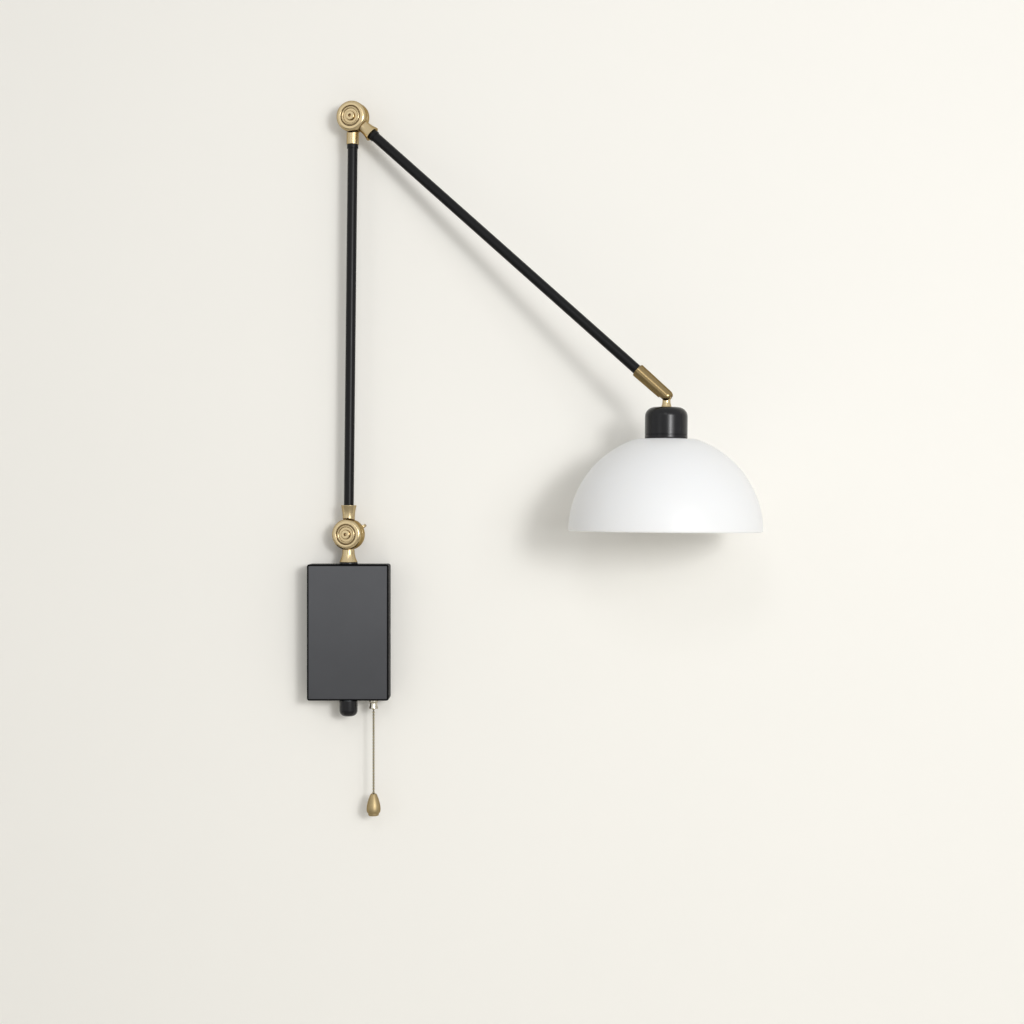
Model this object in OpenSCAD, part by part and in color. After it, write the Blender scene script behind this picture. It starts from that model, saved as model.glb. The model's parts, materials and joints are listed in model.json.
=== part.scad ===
// Swing arm wall lamp: a wall box, a swivel, two friction knuckles, two tubes and a hanging glass shade.
// The origin is the middle of the wall box on the wall plane. +Z is up and the lamp stands out toward -Y.

/* [Wall box] */
// Width of the wall box
box_w = 78; // [74:1:100]
// Height of the wall box
box_h = 130; // [122:1:160]
// Depth of the wall box from the wall to its front
box_d = 31; // [31:0.5:40]
// Thickness of the box's sheet steel
sheet = 1.5; // [1.2:0.1:2]
// Radius on the box's outer edges
edge_r = 1.4; // [0.8:0.1:2.4]
// Thickness of the back plate
plate_t = 1.5; // [1.2:0.1:2.5]
// Gap between the back plate and the box cover
plate_gap = 0.3; // [0.2:0.1:0.8]
// Distance between the two wall screw holes
wall_hole_pitch = 83.3; // [80:0.1:92]
// Diameter of the wall screw holes
wall_hole_d = 4.6; // [4:0.1:5.5]
// Distance of the cable inlet below the middle of the box
inlet_drop = 24; // [20:1:27]
// Bore of the cable inlet's bush
inlet_d = 9; // [7:0.5:10]
// Wall thickness of the cable inlet's bush
inlet_wall = 2.2; // [1.5:0.1:2.8]
// Height of the tabs that take the cover screws
tab_h = 20; // [14:1:30]
// Length of the tabs out from the back plate
tab_len = 12; // [10:0.5:14]
// Shank diameter of the cover screws
cover_screw_d = 3.8; // [3:0.1:4.4]
// Head diameter of the countersunk cover screws
cover_screw_head_d = 5.8; // [5.6:0.1:6.2]
// Length of the cover screws
cover_screw_len = 7; // [5:0.5:9]

/* [Swivel] */
// Distance of the swivel axis behind the box's front
axis_setback = 9.5; // [9.3:0.1:11]
// Angle between the arms' plane and the wall
swing_out = 15; // [13:1:90]
// Outer diameter of the swivel shaft
shaft_d = 10; // [9:0.1:10.6]
// Bore of the swivel shaft
shaft_bore_d = 6.8; // [6:0.1:7.4]
// Radial running gap round shafts and pivots
running_gap = 0.05; // [0.02:0.01:0.09]
// Wall thickness of the shaft bushes
bush_wall = 1.2; // [1:0.1:1.6]
// Length of the shaft bushes
bush_len = 9; // [6:0.5:14]
// Diameter of the flanges on the shaft bushes
bush_flange_d = 14.8; // [14.2:0.1:15]
// Diameter of the washer under the base knuckle
washer_d = 17.7; // [16:0.1:18.4]
// Thickness of the washer under the base knuckle
washer_t = 2; // [1.5:0.1:5]
// Diameter of the bottom cap
cap_d = 17.3; // [16.6:0.1:18.2]
// Height of the bottom cap
cap_h = 15.5; // [15:0.5:22]
// Width of the lock nut across its flats
lock_nut_af = 13; // [12:0.1:13.2]
// Thickness of the lock nut
lock_nut_t = 4.5; // [3:0.1:5]
// Thickness of the spring washer
spring_washer_t = 2; // [1:0.1:2.4]

/* [Knuckles] */
// Diameter of the knuckle discs
disc_d = 29.2; // [27:0.1:32]
// Thickness of one knuckle half
half_t = 8; // [7.8:0.1:10]
// Radius on the outer shoulder of the discs
shoulder_r = 3; // [1.5:0.1:3.4]
// Thickness of the friction washer between two halves
friction_t = 0.8; // [0.4:0.1:1]
// Gap between a disc and the other half's stub
stub_gap = 1.2; // [0.6:0.1:1.6]
// Length of the base stub from the pivot to its end
base_stub_len = 26.4; // [25:0.1:34]
// Length of the lower arm's foot stub from the pivot to the tube
foot_stub_len = 28; // [26:0.1:34]
// Length of the elbow stubs from the pivot to the tubes
elbow_stub_len = 26.3; // [25.5:0.1:34]
// Diameter of the stubs beside the discs
stub_d = 11.5; // [11:0.1:12]
// Diameter at the end of the base stub
base_flare_d = 17.4; // [14:0.1:17.6]
// Diameter at the end of the foot stub
foot_flare_d = 14.8; // [12.4:0.1:17]
// Diameter at the end of the upper arm's stub
elbow_flare_d = 15.4; // [12.4:0.1:17]
// Diameter of the pivot screws
pivot_d = 5; // [4:0.1:5.4]
// Diameter of the pivot screws' heads
pivot_head_d = 9.4; // [9:0.1:10]
// Height of the pivot screws' heads
pivot_head_h = 2.2; // [1.9:0.1:3]
// Width of the hexagon sockets across their flats
socket_af = 3; // [2.5:0.1:4]
// Diameter of the recess that seats the trim ring
recess_d = 18.8; // [18:0.1:19.6]
// Depth of the recess that seats the trim ring
recess_depth = 1.6; // [1.2:0.1:1.8]
// Thickness of the round bead on the trim ring
trim_bead_d = 2.6; // [2:0.1:2.8]
// Radius from the pivot to the tip of a wing
wing_reach = 15.8; // [14:0.1:17]
// Thickness of the wing nuts' wings
wing_t = 2.4; // [2:0.1:3]
// Height of the wing nuts
wing_nut_h = 8; // [7:0.1:9]

/* [Arms] */
// Outer diameter of the arm tubes
tube_d = 9.5; // [9:0.1:10]
// Wall thickness of the arm tubes
tube_wall = 1; // [0.8:0.1:1.2]
// Length of each arm tube that shows
tube_show = 345; // [200:5:450]
// Depth to which a tube is seated in its stub
tube_seat = 7; // [5:0.5:7]
// Lean of the lower arm from the vertical, outward
arm_lean = 0.65; // [0:0.05:20]
// Drop of the upper arm below the horizontal
arm_drop = 41.8; // [25:0.1:42]
// Diameter of the end barrel at the tube
barrel_d = 12.9; // [12:0.1:13]
// Diameter of the end barrel's round tip
barrel_tip_d = 11.7; // [11.5:0.1:12]
// Length of the end barrel
barrel_len = 42; // [34:0.5:55]

/* [Head] */
// Lean of the hanging head at rest
head_lean = 0.5; // [0:0.1:2]
// Diameter of the neck's ball
ball_d = 9.4; // [9:0.1:9.6]
// Diameter of the neck's stem in the barrel's slot
stem_d = 7.2; // [6.6:0.1:7.6]
// Diameter at the foot of the neck
neck_foot_d = 9.6; // [9:0.1:12]
// Distance from the ball's centre down to the cup
neck_drop = 10.4; // [9.8:0.1:16]
// Bore through the neck for the lead
neck_bore_d = 4; // [3.4:0.1:4.4]
// Diameter of the neck's threaded end
neck_thread_d = 8; // [7:0.1:8.8]
// Outer diameter of the cup
cup_d = 39; // [37:0.5:46]
// Height of the cup
cup_h = 28.2; // [26:0.1:36]
// Radius on the cup's shoulder
cup_shoulder_r = 8.6; // [4:0.1:10]
// Wall thickness of the cup
cup_wall = 1.2; // [0.8:0.1:1.6]
// Thickness of the nut that holds the cup
cup_nut_t = 3; // [2:0.1:4]
// Width of the cup nut across its flats
cup_nut_af = 13; // [12:0.1:15]

/* [Shade] */
// Outer diameter of the glass shade
shade_d = 177.8; // [150:1:220]
// Height of the glass shade from its rim to its flat top
shade_h = 84.6; // [72:0.1:86]
// Thickness of the glass
glass_t = 3; // [2.5:0.1:4]
// Thickness of the gasket between cup and glass
gasket_t = 1; // [0.5:0.1:2]
// Gap round the lampholder in the glass
glass_gap = 0.6; // [0.4:0.1:1]
// Diameter of the ring that clamps the glass
clamp_ring_d = 40; // [37:0.5:46]
// Thickness of the ring that clamps the glass
clamp_ring_t = 4; // [2:0.1:6]

/* [Lampholder] */
// Outer diameter of the lampholder
holder_d = 30; // [29.8:0.1:32]
// Length of the lampholder
holder_len = 40; // [36:0.5:44]
// Wall thickness of the lampholder's insulating body
holder_wall = 1.1; // [1:0.1:1.2]
// Thickness of the lampholder's floor
holder_floor = 4; // [3:0.1:5]
// Wall thickness of the threaded shell
shell_t = 0.5; // [0.3:0.1:0.6]

/* [Bulb] */
// Diameter of the bulb's screw cap
bulb_cap_d = 26; // [25:0.1:26.2]
// Length of the bulb's screw cap
bulb_cap_len = 25; // [22:0.5:27]
// Diameter of the bulb's glass
bulb_d = 48; // [40:1:60]
// Whole length of the bulb
bulb_len = 88; // [80:1:92]
// Thickness of the bulb's glass
bulb_glass_t = 1; // [0.8:0.1:1.5]

/* [Pull switch] */
// Distance of the pull switch to the right of the swivel axis
switch_x = 24; // [23:0.5:26]
// Width of the switch body
switch_w = 17; // [14:0.5:19]
// Depth of the switch body, front to back
switch_deep = 14; // [12:0.5:15]
// Height of the switch body
switch_h = 24; // [20:1:30]
// Diameter of the bell nozzle below the box
nozzle_d = 8.3; // [7.6:0.1:9]
// Length of the bell nozzle
nozzle_len = 8.3; // [8:0.1:12]
// Diameter of the switch's threaded neck
switch_neck_d = 5.6; // [5:0.1:6]
// Travel of the pull switch
pull_travel = 8; // [5:0.5:9]
// Diameter of the chain's beads
bead_d = 2.4; // [2.2:0.1:2.6]
// Distance between the chain's beads
bead_pitch = 2.95; // [2.9:0.05:3.4]
// Diameter of the wire between the beads
link_d = 0.8; // [0.6:0.1:1]
// Beads on the chain below its hook
bead_count = 27; // [15:1:45]
// Diameter of the pull knob
knob_d = 13.4; // [10:0.1:14]
// Length of the pull knob
knob_len = 21.2; // [16:0.1:28]

/* [Wiring] */
// Diameter of the lead inside the arms
lead_d = 2.8; // [2.2:0.1:2.9]
// Diameter of a single wire
wire_d = 1.8; // [1.4:0.1:2.2]
// Width of the terminal block
block_w = 18; // [16:1:20]
// Depth of the terminal block out from the back plate
block_deep = 12; // [10:0.5:12]
// Height of the terminal block
block_h = 30; // [27:1:36]
// Diameter of the terminal screws
terminal_screw_d = 3.4; // [3:0.1:4]

/* [Hidden] */
$fn = 48;

brass_tone = "#c9b27a";
steel_tone = "#b9bcc0";
black_tone = "#3b3c3f";
nylon_tone = "#e6e3da";
opal_tone = "#f3f2ee";

overcut = 1;
hair_gap = 0.1;
clear_gap = 0.3;
fit_gap = 0.03;
bend_swell = 0.04;
seam_turn = 37;

half_w = box_w / 2;
half_h = box_h / 2;
axis_y = -(box_d - axis_setback);
inner_half_w = half_w - sheet;
inner_half_h = half_h - sheet;
plate_half_w = inner_half_w - plate_gap;
plate_half_h = inner_half_h - plate_gap;
cover_screw_y = -plate_t - tab_len + 5;
shaft_r = shaft_d / 2;
bush_r = shaft_r + running_gap + bush_wall;

pivot_z = half_h + washer_t + base_stub_len;
lower_len = foot_stub_len + tube_show + elbow_stub_len;
elbow_x = lower_len * sin(arm_lean);
elbow_z = pivot_z + lower_len * cos(arm_lean);
tip_r = barrel_tip_d / 2;
barrel_start = elbow_stub_len + tube_show;
tilt_dist = barrel_start + barrel_len - tip_r;
tilt_x = elbow_x + tilt_dist * cos(arm_drop);
tilt_z = elbow_z - tilt_dist * sin(arm_drop);

disc_r = disc_d / 2;
mate_n = friction_t / 2;
pivot_r = pivot_d / 2;
recess_r = recess_d / 2;
recess_n = half_t - recess_depth;
pocket_n = recess_n - 1.2;
pocket_in_r = pivot_r + 2;
pocket_out_r = disc_r - 3.4;
lead_turn_r = (pocket_in_r + pocket_out_r) / 2 + 0.5;
lead_turn_n = pocket_n - lead_d / 2 - 0.2;
lead_bend_x = 22;
tube_r = tube_d / 2;
tube_bore_r = tube_r - tube_wall;
seat_r = tube_r + fit_gap;
washer_in_r = pocket_out_r + 0.3;
washer_out_r = disc_r - 0.3;
trim_floor_t = 0.8;
trim_bead_r = trim_bead_d / 2;
trim_bead_at = recess_r - trim_bead_r - 0.5;
head_n = recess_n + trim_floor_t;

slot_w = stem_d + 2 * 0.15;
slot_low = 99;
slot_high = 9;

shade_r = shade_d / 2;
glass_top_d = neck_drop + cup_h + gasket_t;
rim_d = glass_top_d + shade_h;
holder_r = holder_d / 2;
holder_top_d = neck_drop + cup_wall + cup_nut_t + 1.5;
shell_out_r = holder_r - holder_wall;
shell_in_r = shell_out_r - shell_t;
shell_top_d = holder_top_d + holder_floor;
contact_h = 4;
bulb_start_d = shell_top_d + contact_h;
neck_thread_len = cup_wall + cup_nut_t + 1.5 + holder_floor - 1;

nozzle_end_z = -half_h - nozzle_len;
pull_bead_z = nozzle_end_z + bead_d;
hook_bead_z = pull_bead_z - bead_pitch;
last_bead_z = hook_bead_z - bead_count * bead_pitch;
knob_top_z = last_bead_z - bead_d / 2;
switch_base_z = -inner_half_h;
switch_top_z = switch_base_z + switch_h;
plunger_bore_d = bead_d + 0.6;
plunger_top = pull_travel + 4;

window_z = -18;
lead_exit_r = shaft_r + 3;
tail_start_r = lead_exit_r + clear_gap;
block_x = -(plate_half_w - 4 - block_w / 2);
block_z = 20;
block_front_y = -plate_t - block_deep;
block_exit_x = block_x + block_w / 2;
below_block_z = block_z - block_h / 2 - 1;
entry_y = -plate_t - block_deep / 2 + 1;
wire_grip = 3;
over_switch_z = switch_top_z + switch_h;
socket_z = switch_top_z - 2;
behind_shaft_y = axis_y + shaft_r + wire_grip;
lug_t = 1;
crimp_d = 3;
bulb_cap_wall = 1.8;

module ring(outer_r, inner_r, h) {
  difference() {
    cylinder(r = outer_r, h = h);
    translate([0, 0, -overcut]) cylinder(r = inner_r, h = h + 2 * overcut);
  }
}

module aim(from, to) {
  span = to - from;
  translate(from) rotate([0, acos(span[2] / norm(span)), atan2(span[1], span[0])]) children();
}

module bar(from, to, r) {
  aim(from, to) cylinder(r = r, h = norm(to - from));
}

module wire(path, r) {
  last = len(path) - 2;
  short = 0.15 * r;
  for (i = [0 : last]) {
    ahead = (path[i + 1] - path[i]) / norm(path[i + 1] - path[i]);
    bar(path[i] + (i > 0 ? short : 0) * ahead, path[i + 1] - (i < last ? short : 0) * ahead, r);
  }
  for (i = [1 : last]) aim(path[i], path[i + 1]) rotate([0, 0, seam_turn]) sphere(r = r + bend_swell);
}

module hexagon(af, h) {
  cylinder(r = af / sqrt(3), h = h, $fn = 6);
}

module rounded_rect(w, h, r) {
  square([w - 2 * r, h], center = true);
  square([w, h - 2 * r], center = true);
  for (x = [-1, 1], y = [-1, 1]) translate([x * (w / 2 - r), y * (h / 2 - r)]) circle(r = r);
}

module front_rounded(w, d, r) {
  translate([-w / 2, -d + r]) square([w, d - r]);
  translate([-w / 2 + r, -d]) square([w - 2 * r, 2 * r]);
  for (x = [-1, 1]) translate([x * (w / 2 - r), -d + r]) circle(r = r);
}

// Places: the swivel axis, the arms' plane, the two knuckles, the arms and the head
module on_axis(z) {
  translate([0, axis_y, z]) children();
}

module at_switch(z) {
  translate([switch_x, axis_y, z]) children();
}

module in_arm_plane() {
  translate([0, axis_y, 0]) rotate([0, 0, -swing_out]) children();
}

module at_base_pivot() {
  in_arm_plane() translate([0, 0, pivot_z]) children();
}

module at_elbow() {
  in_arm_plane() translate([elbow_x, 0, elbow_z]) children();
}

module along_base() {
  at_base_pivot() rotate([0, 90, 0]) children();
}

module along_lower() {
  at_base_pivot() rotate([0, arm_lean - 90, 0]) children();
}

module along_upper() {
  at_elbow() rotate([0, arm_drop, 0]) children();
}

module down_head() {
  in_arm_plane() translate([tilt_x, 0, tilt_z]) rotate([180, 0, 0]) rotate([0, -head_lean, 0]) children();
}

module toward_front() {
  rotate([90, 0, 0]) children();
}

// Wall box
module back_plate() {
  color(steel_tone) difference() {
    union() {
      translate([-plate_half_w, -plate_t, -plate_half_h]) cube([2 * plate_half_w, plate_t, 2 * plate_half_h]);
      for (side = [-1, 1]) tab(side);
    }
    for (side = [-1, 1]) translate([0, overcut, side * wall_hole_pitch / 2]) toward_front()
      cylinder(d = wall_hole_d, h = plate_t + 2 * overcut);
    translate([0, overcut, -inlet_drop]) toward_front()
      cylinder(r = inlet_d / 2 + inlet_wall, h = plate_t + 2 * overcut);
    translate([block_x, overcut, -inlet_drop]) toward_front()
      cylinder(d = cover_screw_d + 2 * hair_gap, h = plate_t + 2 * overcut);
    cover_screw_holes(cover_screw_d / 2 + running_gap);
  }
}

module tab(side) {
  low_x = side > 0 ? plate_half_w - sheet : -plate_half_w;
  translate([low_x, -plate_t - tab_len, -tab_h / 2]) cube([sheet, plate_t + tab_len, tab_h]);
}

module cover_screw_holes(r) {
  for (side = [-1, 1]) translate([side * (half_w + overcut), cover_screw_y, 0]) rotate([0, -side * 90, 0])
    cylinder(r = r, h = cover_screw_len + 2 * sheet);
}

module box_cover() {
  color(black_tone) difference() {
    intersection() {
      toward_front() linear_extrude(height = box_d) rounded_rect(box_w, box_h, edge_r);
      linear_extrude(height = box_h, center = true) front_rounded(box_w, box_d, edge_r);
      rotate([0, 90, 0]) linear_extrude(height = box_w, center = true) front_rounded(box_h, box_d, edge_r);
    }
    translate([-inner_half_w, -box_d + sheet, -inner_half_h])
      cube([2 * inner_half_w, box_d - sheet + overcut, 2 * inner_half_h]);
    on_axis(-half_h - overcut) cylinder(r = bush_r + hair_gap, h = box_h + 2 * overcut);
    at_switch(-half_h - overcut) cylinder(d = switch_neck_d + 2 * hair_gap, h = sheet + 2 * overcut);
    cover_screw_holes(cover_screw_d / 2 + hair_gap);
    for (side = [-1, 1]) cover_screw_cone(side, hair_gap);
  }
}

module cover_screw_cone(side, gap) {
  depth = (cover_screw_head_d - cover_screw_d) / 2;
  translate([side * half_w, cover_screw_y, 0]) rotate([0, -side * 90, 0])
    cylinder(r1 = cover_screw_head_d / 2 + gap, r2 = cover_screw_d / 2 + gap, h = depth);
}

module cover_screws() {
  color(black_tone) for (side = [-1, 1]) difference() {
    union() {
      cover_screw_cone(side, 0);
      translate([side * half_w, cover_screw_y, 0]) rotate([0, -side * 90, 0])
        cylinder(d = cover_screw_d, h = cover_screw_len);
    }
    translate([side * half_w, cover_screw_y, 0]) cube([1.2, 0.8, cover_screw_head_d + 1], center = true);
  }
}

module inlet_bush() {
  flange_t = 1.5;
  body_r = inlet_d / 2 + inlet_wall - hair_gap;
  color(black_tone) translate([0, 0, -inlet_drop]) toward_front() difference() {
    union() {
      cylinder(r = body_r, h = plate_t + flange_t);
      translate([0, 0, plate_t]) cylinder(r = body_r + 2, h = flange_t);
    }
    translate([0, 0, -overcut]) cylinder(d = inlet_d, h = plate_t + flange_t + 2 * overcut);
  }
}

module terminal_block() {
  color(nylon_tone) difference() {
    translate([block_x - block_w / 2, block_front_y, block_z - block_h / 2])
      cube([block_w, block_deep, block_h]);
    for (row = [-1 : 1], side = [-1, 1]) terminal_well(row, side, terminal_screw_d / 2 + 0.4, 3);
    for (row = [-1 : 1]) terminal_entry(row);
  }
}

module terminal_well(row, side, r, depth) {
  translate([block_x + side * block_w / 4, block_front_y - overcut, block_z + row * block_h / 3])
    rotate([-90, 0, 0]) cylinder(r = r, h = depth + overcut);
}

module terminal_entry(row) {
  translate([block_x - block_w / 2 - overcut, entry_y, block_z + row * block_h / 3])
    rotate([0, 90, 0]) cylinder(d = wire_d + 0.6, h = block_w + 2 * overcut);
}

module terminal_screws() {
  color(steel_tone) for (row = [-1 : 1], side = [-1, 1]) difference() {
    translate([block_x + side * block_w / 4, block_front_y + 0.6, block_z + row * block_h / 3])
      rotate([-90, 0, 0]) cylinder(d = terminal_screw_d, h = 2.4);
    translate([block_x + side * block_w / 4, block_front_y + 0.6, block_z + row * block_h / 3])
      cube([terminal_screw_d + 1, 1.2, 0.7], center = true);
  }
}

module earth_screw() {
  head_h = 2.2;
  color(brass_tone) translate([block_x, 0, -inlet_drop]) toward_front() difference() {
    union() {
      cylinder(d = cover_screw_d, h = plate_t + lug_t + 1);
      translate([0, 0, plate_t + lug_t]) cylinder(d = cover_screw_head_d, h = head_h);
    }
    translate([0, 0, plate_t + lug_t + head_h]) cube([cover_screw_head_d + 3, 0.9, 1.6], center = true);
  }
}

module earth_wire() {
  crimp_y = -plate_t - crimp_d / 2;
  crimp_top_z = -inlet_drop + 10;
  bottom_row_z = block_z - block_h / 3;
  turn_x = block_exit_x + wire_grip - 1;
  color("#4f9a4a") {
    translate([block_x, -plate_t, -inlet_drop]) toward_front()
      ring(cover_screw_head_d / 2 + 1.4, cover_screw_d / 2 + hair_gap, lug_t);
    bar([block_x, crimp_y, -inlet_drop + cover_screw_head_d / 2 + 1], [block_x, crimp_y, crimp_top_z],
      crimp_d / 2);
    wire([[block_x, crimp_y, crimp_top_z - 1], [block_x, crimp_y, crimp_top_z + wire_grip],
      [turn_x, entry_y, bottom_row_z - 8], [turn_x, entry_y, bottom_row_z],
      [block_exit_x - wire_grip, entry_y, bottom_row_z]], wire_d / 2);
  }
}

module shaft_bush() {
  difference() {
    union() {
      cylinder(r = bush_r, h = bush_len);
      translate([0, 0, sheet]) cylinder(d = bush_flange_d, h = 2);
    }
    translate([0, 0, -overcut]) cylinder(r = shaft_r + running_gap, h = bush_len + 2 * overcut);
  }
}

module top_bush() {
  color(nylon_tone) on_axis(half_h) rotate([180, 0, 0]) shaft_bush();
}

module bottom_bush() {
  color(nylon_tone) on_axis(-half_h) shaft_bush();
}

module swivel_washer() {
  color(black_tone) on_axis(half_h) difference() {
    union() {
      cylinder(d = washer_d, h = washer_t - 0.6);
      translate([0, 0, washer_t - 0.6]) cylinder(d1 = washer_d, d2 = washer_d - 0.8, h = 0.6);
    }
    translate([0, 0, -overcut]) cylinder(r = shaft_r + running_gap, h = washer_t + 2 * overcut);
  }
}

// Pull switch
module pull_switch() {
  neck_len = sheet + nozzle_len / 2;
  color(black_tone) at_switch(switch_base_z) difference() {
    union() {
      translate([-switch_w / 2, -switch_deep / 2, 0]) cube([switch_w, switch_deep, switch_h]);
      translate([0, 0, -neck_len]) cylinder(d = switch_neck_d, h = neck_len + 1);
    }
    translate([0, 0, -neck_len - overcut])
      cylinder(d = plunger_bore_d, h = overcut + neck_len + plunger_top + bead_d / 2 + clear_gap);
    for (side = [-1, 1]) translate([side * switch_w / 4, 0, switch_h - 3]) cylinder(d = wire_d + 0.4, h = 4);
  }
}

module bell_nozzle() {
  waist_r = nozzle_d / 2 - 0.9;
  mouth_r = nozzle_d / 2 - 0.7;
  bore_r = switch_neck_d / 2 + hair_gap;
  flare_h = nozzle_len / 2 - 0.4;
  color(steel_tone) at_switch(-half_h) rotate([180, 0, 0]) difference() {
    union() {
      cylinder(d = nozzle_d, h = 2);
      cylinder(r = waist_r, h = nozzle_len);
      translate([0, 0, nozzle_len - flare_h]) cylinder(r1 = waist_r, r2 = nozzle_d / 2, h = flare_h - 1);
      translate([0, 0, nozzle_len - 1]) cylinder(d = nozzle_d, h = 1);
    }
    translate([0, 0, -overcut]) cylinder(r = bore_r, h = nozzle_len + 2 * overcut);
    translate([0, 0, nozzle_len - flare_h + 1]) cylinder(r1 = bore_r, r2 = mouth_r, h = flare_h - 1);
    translate([0, 0, nozzle_len - hair_gap]) cylinder(r = mouth_r, h = overcut);
  }
}

module switch_wire() {
  left_x = switch_x - switch_w / 4;
  color("#2c2c2c") wire([[block_exit_x - wire_grip, entry_y, block_z],
    [block_exit_x + wire_grip, entry_y, block_z], [left_x - wire_grip, entry_y, below_block_z],
    [left_x, axis_y, over_switch_z], [left_x, axis_y, socket_z]], wire_d / 2);
}

module lamp_lead_tail() {
  away = [-cos(swing_out), sin(swing_out), 0];
  start = [0, axis_y, window_z] + tail_start_r * away;
  out = start + 4 * away;
  top_row_z = block_z + block_h / 3;
  right_x = switch_x + switch_w / 4;
  fork = [block_exit_x + wire_grip, out[1], below_block_z + 2 * wire_grip];
  split = fork - [0, 0, wire_d / 2];
  color(black_tone) wire([start, out, [out[0], out[1], window_z + 2 * wire_grip], fork], lead_d / 2);
  color("#d9d9d4") wire([split, [fork[0], fork[1], top_row_z], [fork[0], entry_y, top_row_z],
    [block_exit_x - wire_grip, entry_y, top_row_z]], wire_d / 2);
  color("#8a5a3c") wire([split, [fork[0] + wire_grip, behind_shaft_y, block_z],
    [shaft_r + wire_grip, behind_shaft_y, block_z - 2 * wire_grip],
    [right_x, axis_y, over_switch_z + wire_grip], [right_x, axis_y, socket_z]], wire_d / 2);
}

// Swivel
module swivel_shaft() {
  low_z = -half_h - cap_h + 5;
  high_z = pivot_z - base_stub_len + tube_seat;
  color(steel_tone) in_arm_plane() difference() {
    translate([0, 0, low_z]) ring(shaft_r, shaft_bore_d / 2, high_z - low_z);
    translate([0, 0, window_z]) rotate([0, -90, 0]) cylinder(d = lead_d + 3, h = shaft_r + overcut);
  }
}

module spring_washer() {
  color(steel_tone) on_axis(-half_h - spring_washer_t)
    ring(shaft_r + 2.4, shaft_r + running_gap, spring_washer_t);
}

module lock_nut() {
  color(brass_tone) on_axis(-half_h - spring_washer_t - lock_nut_t) difference() {
    hexagon(lock_nut_af, lock_nut_t);
    translate([0, 0, -overcut]) cylinder(r = shaft_r + fit_gap, h = lock_nut_t + 2 * overcut);
  }
}

module bottom_cap() {
  cap_r = cap_d / 2;
  cavity_h = spring_washer_t + lock_nut_t + 0.5 - clear_gap;
  dome_r = 5.5;
  color(black_tone) on_axis(-half_h - clear_gap) rotate([180, 0, 0]) difference() {
    rotate_extrude() union() {
      square([cap_r, cap_h - clear_gap - dome_r]);
      square([cap_r - dome_r, cap_h - clear_gap]);
      intersection() {
        translate([cap_r - dome_r, cap_h - clear_gap - dome_r]) circle(r = dome_r);
        translate([cap_r - dome_r, cap_h - clear_gap - dome_r]) square(dome_r + overcut);
      }
    }
    translate([0, 0, -overcut]) cylinder(r = lock_nut_af / sqrt(3) + 0.3, h = cavity_h + overcut);
    cylinder(r = shaft_r + fit_gap, h = cap_h - 4.6);
  }
}

module swivel_lead() {
  shaft_low = pivot_z - window_z;
  color(black_tone) along_base() wire([[lead_turn_r, -lead_turn_n, 0], [lead_bend_x, 0, 0], [shaft_low, 0, 0],
    [shaft_low, 0, -lead_exit_r]], lead_d / 2);
}

// Knuckles: the pivot lies along Y, the front half on the -Y side, the stub along +X
module stub_profile(len, end_r) {
  start = disc_r - 4;
  straight_end = disc_r + 1;
  steps = 5;
  root_r = stub_d / 2;
  flare = [for (i = [1 : steps]) let (t = i / steps)
    [root_r + (end_r - root_r) * t * t, straight_end + (len - straight_end) * t]];
  polygon(concat([[0, start], [root_r, start], [root_r, straight_end]], flare, [[0, len]]));
}

module disc_profile() {
  difference() {
    translate([0, mate_n]) square([disc_r, half_t - mate_n]);
    translate([disc_r - shoulder_r, half_t - shoulder_r]) difference() {
      square(shoulder_r + overcut);
      circle(r = shoulder_r);
    }
  }
}

module lead_bore(len) {
  bar([lead_bend_x, 0, 0], [lead_turn_r, -lead_turn_n, 0], lead_d / 2 + 0.35);
  bar([lead_bend_x - 0.5, 0, 0], [len + overcut, 0, 0], lead_d / 2 + 0.5);
}

module front_half(len, end_r, socket_r, seat_depth) {
  difference() {
    union() {
      toward_front() rotate_extrude() disc_profile();
      rotate([0, 90, 0]) rotate_extrude() stub_profile(len, end_r);
    }
    translate([0, -mate_n, 0]) rotate([-90, 0, 0]) cylinder(r = disc_r + stub_gap, h = half_t);
    toward_front() cylinder(r = pivot_r + running_gap, h = half_t + overcut);
    toward_front() ring(pocket_out_r, pocket_in_r, pocket_n);
    translate([len - seat_depth, 0, 0]) rotate([0, 90, 0]) cylinder(r = socket_r, h = seat_depth + overcut);
    lead_bore(len);
    children();
  }
}

module trim_recess() {
  toward_front() translate([0, 0, recess_n]) cylinder(r = recess_r, h = recess_depth + overcut);
}

module trim_ring() {
  toward_front() difference() {
    union() {
      translate([0, 0, recess_n]) cylinder(r = recess_r - hair_gap, h = trim_floor_t);
      translate([0, 0, head_n]) rotate_extrude() translate([trim_bead_at, 0]) circle(r = trim_bead_r);
    }
    translate([0, 0, recess_n - trim_bead_r]) cylinder(r = recess_r + overcut, h = trim_bead_r);
    translate([0, 0, recess_n - overcut]) cylinder(r = pivot_r + running_gap, h = 4 * trim_floor_t);
  }
}

module pivot_screw() {
  chamfer = 0.7;
  head_r = pivot_head_d / 2;
  toward_front() difference() {
    union() {
      translate([0, 0, -half_t - wing_nut_h]) cylinder(r = pivot_r, h = half_t + wing_nut_h + head_n + 0.5);
      translate([0, 0, head_n]) cylinder(r = head_r, h = pivot_head_h - chamfer);
      translate([0, 0, head_n + pivot_head_h - chamfer])
        cylinder(r1 = head_r, r2 = head_r - chamfer, h = chamfer);
    }
    translate([0, 0, head_n + pivot_head_h - 1.5]) hexagon(socket_af, 1.5 + overcut);
  }
}

module friction_washer() {
  toward_front() translate([0, 0, -mate_n]) ring(washer_out_r, washer_in_r, friction_t);
}

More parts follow.
